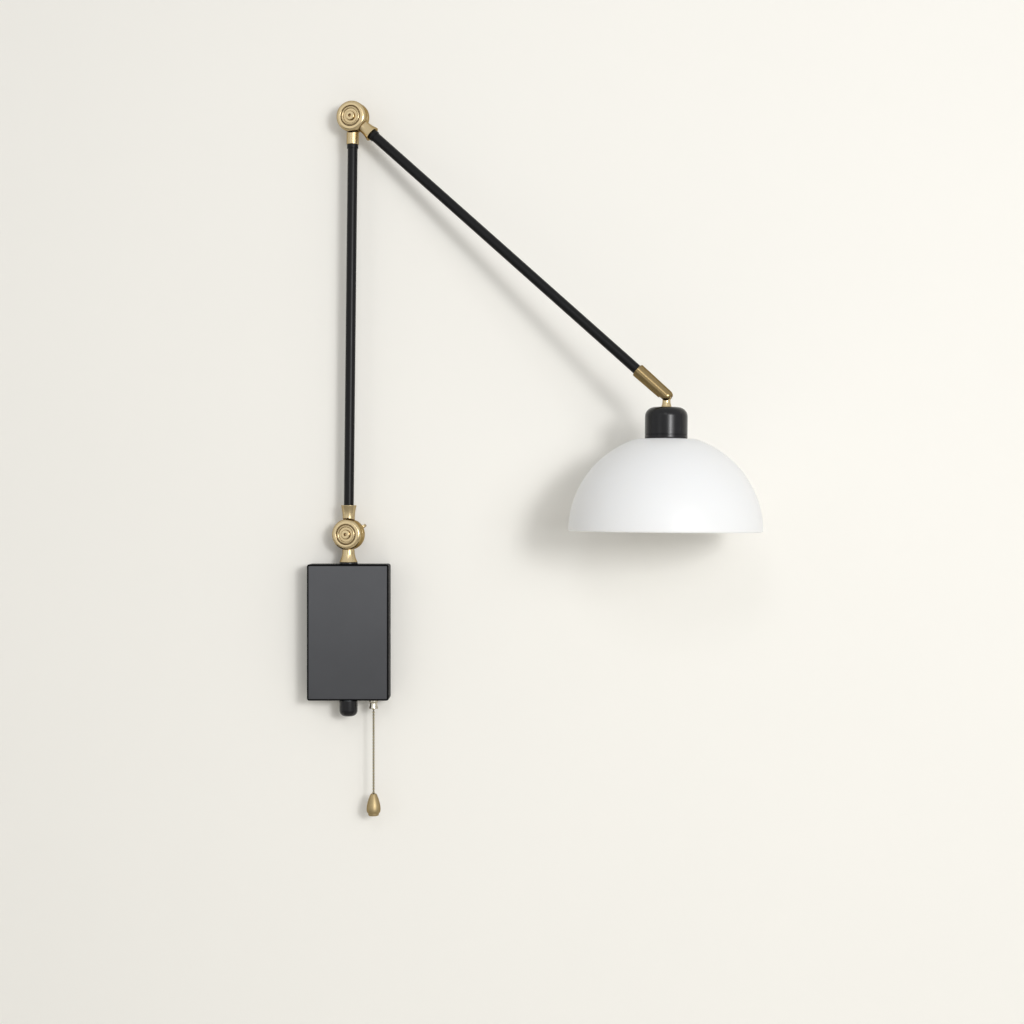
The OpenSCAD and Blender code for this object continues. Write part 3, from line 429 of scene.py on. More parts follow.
def shader_of(made):
    """A finished material's shader node."""
    return next(node for node in made.node_tree.nodes if node.type == "BSDF_PRINCIPLED")


def rgba(colour, share=1.0):
    """A colour with full alpha, made darker or lighter by a share."""
    return (*[min(1.0, c * share) for c in colour], 1.0)


def darker(colour, share):
    """A colour's linear channels, each taken down to a share."""
    return [share * c for c in colour]


def per(millimetres):
    """The texture scale at which a pattern repeats after this many millimetres."""
    return 1 / (millimetres * MM)


def colours():
    """The user's colours."""
    return bpy.context.scene.lamp_colours


def mottled_metal(name, light, dark, hollow_shade_and_grime, roughness, patch, line, line_depth):
    """Lathe-turned metal: patches of tarnish, painted shade and grime in its hollows, and fine turning lines round
    its own axis.
    """
    made, tree = material(name)
    own = own_place(tree)
    split = add(tree, "SeparateXYZ", {0: own})
    across = add(tree, "CombineXYZ", {"X": split.outputs["X"], "Y": split.outputs["Y"]})
    radius = add(tree, "VectorMath", {0: across.outputs[0]}, operation="LENGTH")
    along = add(tree, "Math", {0: radius.outputs["Value"], 1: split.outputs["Z"]}, operation="ADD")
    lines = add(tree, "TexNoise", {"W": along.outputs[0], "Scale": per(line), "Detail": 2.0},
                noise_dimensions="1D").outputs["Fac"]
    tone = ramp(tree, noise(tree, own, patch, 4.0, 0.6), 0.3, 0.7)
    # Painted shade and grime: the colour darkens where less than 86 percent of the air within 2.2 mm is open,
    # which is where shade falls in the hollows.
    open_air = add(tree, "AmbientOcclusion", {"Distance": 2.2 * MM}, samples=6)
    painted_hollow_shade = ramp(tree, open_air.outputs["AO"], 0.3, 0.86, 1.0, 0.0)
    base = blend(tree, painted_hollow_shade, blend(tree, tone, rgba(dark), rgba(light)), rgba(hollow_shade_and_grime))
    gloss = ramp(tree, lines, 0.0, 1.0, roughness - 0.05, roughness + 0.09)
    end_in_metal(tree, base, gloss, dents(tree, lines, 0.35, line_depth))
    return made


def lacquered_brass():
    """Cast and turned brass under clear lacquer: a pale straw metal with soft, slightly streaky gloss."""
    c = colours()
    dark = [0.7 * a + 0.3 * b for a, b in zip(c.brass, c.tarnish)]
    return mottled_metal("lacquered_turned_brass", c.brass, dark, linear("6a4a22"), 0.24, 9, 0.5, 0.012)


def knob_brass():
    """Satin turned brass of the pull knob: warmer and rubbed smooth by hands."""
    c = colours()
    return mottled_metal(
        "satin_turned_brass", c.knob, darker(c.knob, 0.8), darker(c.tarnish, 0.4), 0.46, 6, 0.6, 0.008)


def raw_brass():
    """Plain machined brass of the nuts and contacts inside: darker and duller."""
    c = colours()
    return mottled_metal(
        "machined_brass", darker(c.brass, 0.85), c.tarnish, darker(c.tarnish, 0.5), 0.38, 4, 0.4, 0.02)


def zinc_steel():
    """Zinc-plated steel of the plate, shaft and screws: a cool grey with a cloudy, matt shine."""
    return mottled_metal(
        "zinc_plated_steel", linear("b4b8bc"), linear("8e9296"), linear("5c5e60"), 0.36, 5, 0.6, 0.01)


def nickel_cap():
    """Nickel-plated brass of the bulb's cap and the bell nozzle: a bright metal with a slightly warm tone."""
    return mottled_metal(
        "nickel_plated_brass", linear("d6d2c4"), linear("a9a492"), linear("4b463a"), 0.24, 3, 0.5, 0.01)


def bead_chain():
    """Olive brass of the bead chain, with painted shade that turns each bead nearly black at its ends, where it
    meets the next.
    """
    c = colours()
    made = mottled_metal("olive_bead_chain_brass", c.chain, darker(c.chain, 0.7), darker(c.chain, 0.05), 0.26, 1.2,
                         0.5, 0.02)
    tree, base = made.node_tree, shader_of(made).inputs["Base Color"]
    rubbed = base.links[0].from_socket
    place = add(tree, "SeparateXYZ", {0: own_place(tree)})
    height = add(tree, "Math", {0: place.outputs["Z"]}, operation="ABSOLUTE")
    # Painted shade: each bead goes nearly black from 0.45 to 0.75 mm off its middle, towards the links, where
    # shade falls between the beads; its crown keeps the mottled brass.
    painted_bead_end_shade = ramp(tree, height.outputs[0], 0.45 * MM, 0.75 * MM)
    tree.links.new(blend(tree, painted_bead_end_shade, rubbed, rgba(c.chain, 0.07)), base)
    return made


def dark_bronze():
    """Antique bronze drawn lengthwise: soft stripes along the barrel, dark in the grooves."""
    bronze = colours().bronze
    made, tree = material("drawn_antique_bronze")
    drawn = add(tree, "Mapping", {"Vector": own_place(tree), "Scale": (1, 1, 0.02)})
    # Real drawing lines are about 0.2 mm apart; they are drawn 3 mm apart so that they show.
    lines = noise(tree, drawn.outputs[0], 3, 3.0, 0.6)
    base = blend(tree, ramp(tree, lines, 0.42, 0.6), rgba(bronze, 0.15), rgba(bronze, 1.1))
    end_in_metal(tree, base, ramp(tree, lines, 0.0, 1.0, 0.28, 0.16), dents(tree, lines, 0.4, 0.03))
    return made


def coated(name, colour, roughness, variation, cloud, grain, grain_depth, more=()):
    """A paint, plastic or rubber: cloudy colour and gloss over a fine surface grain."""
    made, tree = material(name)
    where = add(tree, "TexCoord").outputs["Object"]
    clouds = noise(tree, where, cloud, 3.0)
    sockets = {"Base Color": blend(tree, clouds, rgba(colour, 1 - variation), rgba(colour, 1 + variation)),
               "Roughness": ramp(tree, clouds, 0.0, 1.0, roughness - 0.06, roughness + 0.06),
               "Normal": dents(tree, noise(tree, where, grain, 2.0), 0.5, grain_depth)}
    sockets.update(more)
    end_in_shader(tree, sockets)
    return made


def box_lacquer():
    """Satin stoving lacquer on folded steel, near black on the folds and the sides, with a painted sheen that
    turns the flat front grey and a painted falloff that darkens it towards the bottom.
    """
    c = colours()
    made = coated("satin_stoving_lacquer", c.lacquer, 0.46, 0.07, 38, 1.6, 0.02, {"IOR": 1.26})
    tree, shader = made.node_tree, shader_of(made)
    front = shader.inputs["Base Color"].links[0].from_socket
    where = add(tree, "TexCoord")
    facing = add(tree, "SeparateXYZ", {0: where.outputs["Normal"]})
    # Painted sheen: the flat front takes the grey, as if it caught the light in front, and the folds and sides
    # keep the near-black lacquer.
    flat = ramp(tree, facing.outputs["Y"], -0.95, -0.998)
    place = add(tree, "SeparateXYZ", {0: where.outputs["Object"]})
    # Painted shade: the front goes from 0.8 of its grey at the bottom to 1.2 at the top, as light from above falls
    # on it.
    half_height = 65 * MM
    painted_light_from_above = ramp(tree, place.outputs["Z"], -half_height, half_height, 0.8, 1.2)
    front_with_painted_falloff = add(tree, "VectorMath", {0: front, "Scale": painted_light_from_above}, operation="SCALE")
    coat = blend(tree, flat, rgba(c.enamel, 0.6), front_with_painted_falloff.outputs[0])
    tree.links.new(coat, shader.inputs["Base Color"])
    tree.links.new(ramp(tree, flat, 0.0, 1.0, 0.1, 0.5), shader.inputs["Specular IOR Level"])
    return made


def black_enamel():
    """Black gloss enamel on spun steel: deep black with a clean, narrow light line."""
    return coated("black_gloss_enamel", colours().enamel, 0.25, 0.15, 25, 1.8, 0.006, {"IOR": 1.36})


def tube_enamel_painted_darker():
    """Black stoved enamel on drawn tube: the cup's enamel taken down to 0.55 as painted shade, and softer, with
    one faint light line.
    """
    return coated("black_stoved_tube_enamel", darker(colours().enamel, 0.55), 0.34, 0.15, 25, 1.8, 0.006,
                  {"IOR": 1.28})


def opal_glass():
    """Blown opal glass: milk white that lets light sink in, under a fire-polished gloss."""
    return coated("blown_opal_glass", colours().opal, 0.42, 0.012, 60, 14, 0.05,
                  {"IOR": 1.42, "Subsurface Weight": 0.55, "Subsurface Radius": (1.0, 0.95, 0.9),
                   "Subsurface Scale": 5 * MM})


FINISHES = {
    "graphite_paint": box_lacquer, "black_paint": black_enamel, "zinc_steel": zinc_steel,
    "aged_brass": lacquered_brass, "dark_brass": dark_bronze, "raw_brass": raw_brass,
    "opal_glass": opal_glass, "nickel_cap": nickel_cap, "chain": bead_chain, "knob": knob_brass,
    "tube": tube_enamel_painted_darker,
}
# Coats of one fixed colour: name, sRGB colour, roughness, variation, and in mm the width of the clouds, the width
# of the grain and its depth; then what else the shader needs.
COATS = {
    # Moulded natural nylon of the bushes and terminal block: off-white with a waxy sheen.
    "white_nylon": ("moulded_nylon", "e2ddd0", 0.45, 0.03, 12, 0.8, 0.01),
    # Moulded black thermoset of the switch and clamp ring: near black with a dull gloss.
    "black_plastic": ("moulded_black_thermoset", "1c1c1d", 0.42, 0.1, 10, 0.9, 0.01),
    # Pressed fibre of the friction washers: dark, dry and matt.
    "fibre": ("pressed_fibre", "2e2a26", 0.85, 0.25, 3, 0.4, 0.05),
    # Moulded rubber of the inlet bush and gasket: black and matt.
    "black_rubber": ("moulded_rubber", "19191a", 0.72, 0.1, 8, 0.5, 0.02),
    # Extruded insulation of the earth wire: green with a soft shine.
    "green_sheath": ("green_wire_insulation", "3f8f45", 0.4, 0.06, 20, 1.5, 0.01),
    # Extruded insulation of the leads: near black with a soft shine.
    "wire_sheath": ("dark_wire_insulation", "242220", 0.42, 0.06, 20, 1.5, 0.01),
    # Glazed porcelain of the lampholder: warm white under a glassy glaze.
    "porcelain": ("glazed_porcelain", "e6e2d6", 0.16, 0.02, 14, 3, 0.02,
                  {"Coat Weight": 0.6, "Coat Roughness": 0.05}),
    # Inside-frosted glass of the bulb: white and softly glossy.
    "frosted_glass": ("frosted_bulb_glass", "f1f0ea", 0.2, 0.015, 20, 5, 0.02, {"IOR": 1.5}),
    # Matt paint on the floor: pale and even.
    "floor": ("matt_floor_paint", "e6e3dc", 0.85, 0.01, 300, 60, 0.2),
}
made_finishes = {}


def finish(slot):
    """The material of a slot or of a piece with its own finish, made once."""
    if slot not in made_finishes:
        if slot in COATS:
            name, code, *looks = COATS[slot]
            made_finishes[slot] = coated(name, linear(code), *looks)
        else:
            made_finishes[slot] = FINISHES[slot]()
    return made_finishes[slot]


class LAMP_OT_inner_parts(bpy.types.Operator):
    """Gives every part of the frame the finish of its slot"""
    bl_idname = "lamp.inner_parts"
    bl_label = "Inner Parts"

    def execute(self, context):
        for part in frame["record"]["subparts"]:
            node = frame["nodes"][part["node"]]
            node.data.materials.clear()
            node.data.materials.append(finish(part["material_slot"]))
        return {"FINISHED"}


class LAMP_OT_box_cover(bpy.types.Operator):
    """Folds the sheet steel cover of the wall box, cuts its holes and fits its screws"""
    bl_idname = "lamp.box_cover"
    bl_label = "Box Cover"

    def execute(self, context):
        s = context.scene.lamp_sizes
        low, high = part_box("box_cover")
        cover = block("wall_box_cover", low, high)
        edit(cover)
        pick(cover, "FACE", lambda face: face.normal.y > 0.9)
        bpy.ops.mesh.delete(type="FACE")
        modify(cover, "BEVEL", width=s.fold, segments=5, limit_method="ANGLE", angle_limit=math.radians(60))
        modify(cover, "SOLIDIFY", thickness=s.sheet, offset=-1, use_even_offset=True)
        over = high.z + s.fold
        combine(cover, rod("bush_hole", s.bush / 2 + CLEAR, -over, over, on_axis(SWIVEL, 0)), "DIFFERENCE")
        combine(cover, rod("switch_hole", s.switch_neck / 2 + CLEAR, -over, 0, on_axis(PULL, 0)), "DIFFERENCE")
        for side in (-1, 1):
            sink = turned("screw_sink", screw_outline(s, CLEAR, 3 * s.sheet), screw_place(s, side, high.x), 32,
                          False)
            combine(cover, sink, "DIFFERENCE")
        soften(cover, 0.25 * MM, 2, 50)
        dress(cover, "wall_box", ["box_cover"], "graphite_paint")
        screws = [cover_screw(s, side, high.x) for side in (-1, 1)]
        pick_only(*screws)
        bpy.ops.object.join()
        dress(screws[0], "wall_box", ["cover_screws"], "black_paint")
        return {"FINISHED"}


def screw_outline(s, gap, length):
    """Outline of a countersunk screw from its flat head down its axis."""
    head, shank = s.screw_head / 2 + gap, s.screw_shank / 2 + gap
    return [(0, -gap), (head, -gap), (head, 0), (shank, head - shank), (shank, length), (0, length)]


def screw_place(s, side, x):
    """The place of a cover screw's head in one side of the box."""
    return axes(Vector((side * x, -s.screw_setback, 0)), Vector((-side, 0, 0)), UP)


def cover_screw(s, side, x):
    """A countersunk screw, 7 mm long, with a slot, in one side of the box."""
    screw = turned(f"cover_screw_{'left' if side < 0 else 'right'}", screw_outline(s, 0, 7 * MM),
                   screw_place(s, side, x), 32, False)
    slot_half = Vector((0.6 * MM, 0.4 * MM, s.screw_head))
    centre = Vector((side * x, -s.screw_setback, 0))
    combine(screw, block("screw_slot", centre - slot_half, centre + slot_half), "DIFFERENCE")
    return screw


class LAMP_OT_swivel_trim(bpy.types.Operator):
    """Turns the black washer above the box and the domed cap below it"""
    bl_idname = "lamp.swivel_trim"
    bl_label = "Swivel Trim"

    def execute(self, context):
        low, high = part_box("swivel_washer")
        outer, height = (high.x - low.x) / 2, high.z - low.z
        shaft = 5.05 * MM
        washer = turned("swivel_washer_ring", [(shaft, 0, 0.2 * MM), (outer, 0, 0.3 * MM),
                                               (outer, height, 0.6 * MM), (shaft, height, 0.2 * MM)],
                        on_axis(SWIVEL, low.z))
        dress(washer, "wall_box", ["swivel_washer"], "black_paint")
        low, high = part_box("bottom_cap")
        outer, height = (high.x - low.x) / 2, high.z - low.z
        cavity, nut_depth, shaft_depth = 7.8 * MM, 6.7 * MM, 11.4 * MM
        cap = turned("swivel_bottom_cap", [
            (0, shaft_depth), (SHAFT_FIT, shaft_depth, 0.3 * MM), (SHAFT_FIT, nut_depth, 0.3 * MM),
            (cavity, nut_depth, 0.3 * MM), (cavity, 0, 0.2 * MM), (outer, 0, 0.4 * MM),
            (outer, height, 5.5 * MM), (0, height)], on_axis(SWIVEL, high.z, -UP), closed=False)
        dress(cap, "swivel", ["bottom_cap"], "black_paint")
        return {"FINISHED"}


def knuckle_half(s, name, pivot, stub_way, stub_length, stub_end, socket, front):
    """One half of a knuckle: a disc that faces front or back, and the stub that grows out of its rim."""
    face_way = -TO_WALL if front else TO_WALL
    disc_place = axes(pivot, face_way, stub_way)
    radius, bore = s.disc / 2, s.screw / 2 + SCREW_FIT
    outline = [(bore, s.mate), (radius, s.mate, 0.3 * MM), (radius, s.half, s.shoulder)]
    if front:
        floor = s.half - s.recess_depth
        outline += [(s.recess / 2 + 0.7 * MM, s.half, 0.3 * MM), (s.recess / 2, s.half - 0.9 * MM, 0.3 * MM),
                    (s.recess / 2, floor), (bore, floor)]
    else:
        outline += [(bore, s.half)]
    disc = turned(name, outline, disc_place, 96)
    root, flare_start = s.stub / 2, radius + 1 * MM
    steps = 14
    flare = [(root + (stub_end - root) * (i / steps) ** 2, flare_start + (stub_length - flare_start) * i / steps)
             for i in range(1, steps)]
    lead, inside = 1.9 * MM, radius - 5 * MM
    stub_outline = [(lead, inside), (root, inside), (root, flare_start), *flare,
                    (stub_end, stub_length, 0.4 * MM), (socket, stub_length, 0.2 * MM),
                    (socket, stub_length - s.seat), (lead, stub_length - s.seat)]
    stub = turned("stub", stub_outline, axes(pivot, stub_way, TO_WALL))
    sweep = rod("sweep", radius + s.stub_gap, -s.half, s.mate, disc_place, 96)
    combine(stub, sweep, "DIFFERENCE")
    combine(disc, stub, "UNION")
    soften(disc, 0.25 * MM, 2, 40)
    return disc


class LAMP_OT_knuckles(bpy.types.Operator):
    """Casts the four knuckle halves with their stubs"""
    bl_idname = "lamp.knuckles"
    bl_label = "Knuckle Halves"

    def execute(self, context):
        s = context.scene.lamp_sizes
        tube_fit = s.tube / 2 + 0.03 * MM
        # Name, node, body, pivot, way of the stub, its length and end radius, its socket's radius, front or back
        halves = (
            ("base_knuckle_half", "base_knuckle", "swivel", BASE_PIVOT, -UP, 26.4, 8.7, SHAFT_FIT, True),
            ("foot_knuckle_half", "foot_knuckle", "lower_arm", BASE_PIVOT, LOWER_WAY, 28, 7.4, tube_fit, False),
            ("elbow_knuckle_back", "elbow_back_half", "lower_arm", ELBOW, -LOWER_WAY, 26.3, 5.85, tube_fit, False),
            ("elbow_knuckle_front", "elbow_front_half", "upper_arm", ELBOW, UPPER_WAY, 26.3, 7.7, tube_fit, True))
        for name, node, body, pivot, way, length, end, socket, front in halves:
            half = knuckle_half(s, name, pivot, way, length * MM, end * MM, socket, front)
            dress(half, body, [node], "aged_brass")
        return {"FINISHED"}


class LAMP_OT_pivot_trim(bpy.types.Operator):
    """Turns the trim rings and the socket head screws of both knuckles"""
    bl_idname = "lamp.pivot_trim"
    bl_label = "Trim Rings and Pivot Screws"

    def execute(self, context):
        s = context.scene.lamp_sizes
        floor, plate = s.half - s.recess_depth, 0.8 * MM
        bead, bore = s.trim_bead / 2, s.screw / 2 + SCREW_FIT
        edge, seat = s.recess / 2 - 0.1 * MM, floor + plate
        bead_at = s.recess / 2 - bead - 0.5 * MM
        ring_outline = [(bore, floor), (edge, floor), (edge, seat, 0.1 * MM),
                        *arc(bead, (bead_at, seat), 0, 180, 12), (bore, seat)]
        head_top, key_depth = seat + 2.2 * MM, 1.9 * MM
        screw_end = -s.half - s.nut_height
        head = s.screw_cap / 2
        shank = s.screw / 2
        screw_outline_points = [(0, screw_end), (shank, screw_end, 0.5 * MM), (shank, seat), (head, seat),
                                (head, head_top, 0.7 * MM), (0, head_top)]
        for stem, pivot, body in (("base", BASE_PIVOT, "swivel"), ("elbow", ELBOW, "upper_arm")):
            place = axes(pivot, -TO_WALL, UP)
            ring = turned(f"{stem}_trim_bead_ring", ring_outline, place, 96)
            dress(ring, body, [f"{stem}_trim_ring"], "aged_brass")
            screw = turned(f"{stem}_socket_screw", screw_outline_points, place, 64, False)
            key = rod("key", s.socket / math.sqrt(3), head_top - key_depth, head_top + MM, place, 6)
            combine(screw, key, "DIFFERENCE")
            soften(screw, 0.15 * MM, 2, 50)
            dress(screw, body, [f"{stem}_pivot_screw"], "aged_brass")
        return {"FINISHED"}


class LAMP_OT_wing_nuts(bpy.types.Operator):
    """Forges the two wing nuts behind the knuckles"""
    bl_idname = "lamp.wing_nuts"
    bl_label = "Wing Nuts"

    def execute(self, context):
        s = context.scene.lamp_sizes
        hub, flange, tip = s.screw / 2 + 2.4 * MM, 1.2 * MM, 2.6 * MM
        bore, top = s.screw / 2 + SCREW_FIT, s.nut_height
        hub_outline = [(bore, 0), (hub + 1.4 * MM, 0, 0.3 * MM), (hub + 1.4 * MM, flange, 0.5 * MM),
                       (hub, flange, 0.3 * MM), (hub - 0.8 * MM, top - MM, 0.5 * MM), (bore, top - MM, 0.3 * MM)]
        wing_outline = [(bore + 0.6 * MM, flange), (hub + MM, flange, 1.5 * MM),
                        (s.wing_reach, top - 2 * tip + 1.5 * MM, 2.4 * MM),
                        (s.wing_reach - 0.6 * MM, top, 2.4 * MM),
                        (hub + 1.5 * MM, top - 2.6 * MM, 1.5 * MM), (bore + 0.6 * MM, top - 1.6 * MM)]
        # Which knuckle, its pivot, the nut's body, and the way that the wings are turned from, in degrees
        for stem, pivot, body, side_way, turn in (("base", BASE_PIVOT, "base_wing", -UP, -54),
                                                  ("elbow", ELBOW, "elbow_wing", UPPER_WAY, -17)):
            place = axes(pivot, TO_WALL, TO_WALL.cross(side_way)) @ Matrix.Translation((0, 0, s.half))
            place = place @ Matrix.Rotation(math.radians(-turn), 4, "Z")
            nut = turned(f"{stem}_knuckle_wing_nut", hub_outline, place, 48)
            for half_turn in (0, math.pi):
                wing = extruded("wing", wing_outline, s.wing, place @ Matrix.Rotation(half_turn, 4, "Z"))
                combine(nut, wing, "UNION")
            soften(nut, 0.45 * MM, 3, 40)
            dress(nut, body, [f"{stem}_wing_nut"], "aged_brass")
        return {"FINISHED"}


class LAMP_OT_tubes(bpy.types.Operator):
    """Draws the two arm tubes, each with a low collar beside the elbow"""
    bl_idname = "lamp.tubes"
    bl_label = "Arm Tubes"

    def execute(self, context):
        s = context.scene.lamp_sizes
        outer, inner = s.tube / 2, s.tube / 2 - s.tube_wall
        lower_length = (ELBOW - BASE_PIVOT).length
        foot_seat, elbow_seat, stub_mouth, barrel_seat = 21 * MM, 19.3 * MM, 26.4 * MM, 378.3 * MM
        collar_length, raised = 3.8 * MM, outer + 0.7 * MM
        # Name, pivot, way, where the tube starts and ends, the mouth of the elbow's stub, body
        for name, pivot, way, start, end, mouth, body in (
                ("lower_tube", BASE_PIVOT, LOWER_WAY, foot_seat, lower_length - elbow_seat,
                 lower_length - stub_mouth, "lower_arm"),
                ("upper_tube", ELBOW, UPPER_WAY, elbow_seat, barrel_seat, stub_mouth, "upper_arm")):
            collar = (mouth, mouth + collar_length) if mouth < end / 2 else (mouth - collar_length, mouth)
            outline = [(inner, start), (outer, start, 0.2 * MM), (outer, collar[0]),
                       (raised, collar[0], 0.3 * MM), (raised, collar[1], 0.3 * MM),
                       (outer, collar[1]), (outer, end, 0.2 * MM), (inner, end)]
            tube = turned(f"{name}_drawn", outline, axes(pivot, way, TO_WALL), 48)
            dress(tube, body, [name], "black_paint", "tube")
        return {"FINISHED"}


class LAMP_OT_barrel_and_neck(bpy.types.Operator):
    """Turns the end barrel, cuts its slot, and turns the ball-ended neck"""
    bl_idname = "lamp.barrel_and_neck"
    bl_label = "End Barrel and Neck"

    def execute(self, context):
        s = context.scene.lamp_sizes
        tip = s.barrel_tip / 2
        reach = (BALL - ELBOW).length
        start = reach + tip - s.barrel_length
        bore = s.ball / 2 + 0.1 * MM
        outline = [(bore, start), (s.barrel / 2, start, 0.5 * MM), *arc(tip, (0, reach), 0, 90, 14),
                   *arc(bore, (0, reach), 90, 0, 12)]
        barrel = turned("slotted_end_barrel", outline, axes(ELBOW, UPPER_WAY, TO_WALL), 72)
        slot = s.stem + 0.3 * MM
        low, high = math.radians(99), math.radians(9)  # The slot's ends, as angles down from the arm's way
        low_way, high_way = (Vector((math.cos(a), -math.sin(a))) for a in (low, high))
        low_side = slot / 2 * Vector((-math.sin(low), -math.cos(low)))
        high_side = slot / 2 * Vector((math.sin(high), math.cos(high)))
        far = s.barrel
        spots = [high_side, high_side + far * high_way, 1.2 * far * (high_way + low_way), low_side + far * low_way,
                 low_side]
        points = [(spot.x, spot.y) for spot in spots]
        arm_up = TO_WALL.cross(UPPER_WAY)
        slot_place = axes(BALL, -arm_up if arm_up.z < 0 else arm_up, TO_WALL)
        cutter = extruded("slot_cutter", points, slot, slot_place)
        combine(barrel, cutter, "DIFFERENCE")
        soften(barrel, 0.3 * MM, 2, 45)
        dress(barrel, "upper_arm", ["end_barrel"], "dark_brass")
        ball, stem, foot, hole = s.ball / 2, s.stem / 2, 4.8 * MM, 2 * MM
        shank, shank_end = 4 * MM, CUP_AT + 8.7 * MM
        crown = math.degrees(math.acos(3.9 / 4.7))  # Where the ball's top is hollowed for the lead
        ball_arc = arc(ball, (0, 0), -crown, math.degrees(math.acos(stem / ball)), 16)
        neck_outline = [(hole, -2.0 * MM), *ball_arc, (stem, tip + 0.4 * MM, 0.4 * MM),
                        (foot - 0.4 * MM, CUP_AT - 1.2 * MM, 0.5 * MM), (foot, CUP_AT), (shank, CUP_AT),
                        (shank, shank_end), (hole, shank_end)]
        neck = turned("ball_neck", neck_outline, axes(BALL, HEAD_WAY, TO_WALL))
        dress(neck, "shade_head", ["neck"], "aged_brass")
        return {"FINISHED"}


class LAMP_OT_cup(bpy.types.Operator):
    """Spins the black cup that sits on the shade"""
    bl_idname = "lamp.cup"
    bl_label = "Cup"

    def execute(self, context):
        s = context.scene.lamp_sizes
        top, bottom, wall = CUP_AT, CUP_AT + s.cup_height, 1.2 * MM
        outer, hole = s.cup / 2, 4.1 * MM
        groove, half, depth = bottom - 3 * MM, 0.35 * MM, 0.3 * MM
        points = [(hole, top), (outer, top, s.cup_shoulder), (outer, groove - half),
                  (outer - depth, groove - 0.1 * MM), (outer - depth, groove + 0.1 * MM), (outer, groove + half),
                  (outer, bottom, 0.3 * MM), (outer - wall, bottom, 0.2 * MM),
                  (outer - wall, top + wall, s.cup_shoulder - wall), (hole, top + wall)]
        cup = turned("spun_cup", points, axes(BALL, HEAD_WAY, TO_WALL), 96)
        dress(cup, "shade_head", ["cup"], "black_paint")
        return {"FINISHED"}


class LAMP_OT_shade(bpy.types.Operator):
    """Blows the half-round opal glass shade"""
    bl_idname = "lamp.shade"
    bl_label = "Glass Shade"

    def execute(self, context):
        s = context.scene.lamp_sizes
        outer, inner = s.shade / 2, s.shade / 2 - s.glass
        hole = 15.6 * MM
        top = 39.6 * MM
        rim = top + s.shade_height
        edge = math.degrees(math.asin(s.shade_height / outer))
        inner_edge = math.degrees(math.asin((s.shade_height - s.glass) / inner))
        outside = [(r, rim - h) for r, h in arc(outer, (0, 0), 1.2, edge, 44)]
        inside = [(r, rim - h) for r, h in arc(inner, (0, 0), inner_edge, 1.2, 40)]
        half = s.glass / 2
        rim_round = [(outer - half + half * math.cos(a), rim - half + half * math.sin(a))
                     for a in [math.pi * i / 8 for i in range(7, 0, -1)]]
        points = [*outside[:-1], (*outside[-1], 1.6 * MM), (hole, top, 0.3 * MM), (hole, top + s.glass, 0.3 * MM),
                  (*inside[0], 1.0 * MM), *inside[1:], *rim_round]
        shade = turned("blown_glass_shade", points, axes(BALL, HEAD_WAY, TO_WALL), 128)
        dress(shade, "shade_head", ["glass_shade"], "opal_glass")
        return {"FINISHED"}


class LAMP_OT_bulb(bpy.types.Operator):
    """Blows the bulb's glass"""
    bl_idname = "lamp.bulb"
    bl_label = "Bulb"

    def execute(self, context):
        radius, length, start, wall = 24 * MM, 88 * MM, 24.1 * MM, 1 * MM
        throat, seat = 11 * MM, 21 * MM
        centre = length - radius
        widen = arc(radius, (0, centre), -55, 90, 30)
        inner = arc(radius - wall, (0, centre), 90, -55, 30)
        points = [(throat, seat), (throat, seat + 6 * MM, 3 * MM), *widen, *inner,
                  (throat - wall, seat + 6 * MM, 3 * MM), (throat - wall, seat)]
        bulb = turned("blown_bulb", points, axes(BALL + start * HEAD_WAY, HEAD_WAY, TO_WALL), 72)
        dress(bulb, "shade_head", ["bulb_glass"], "frosted_glass")
        return {"FINISHED"}


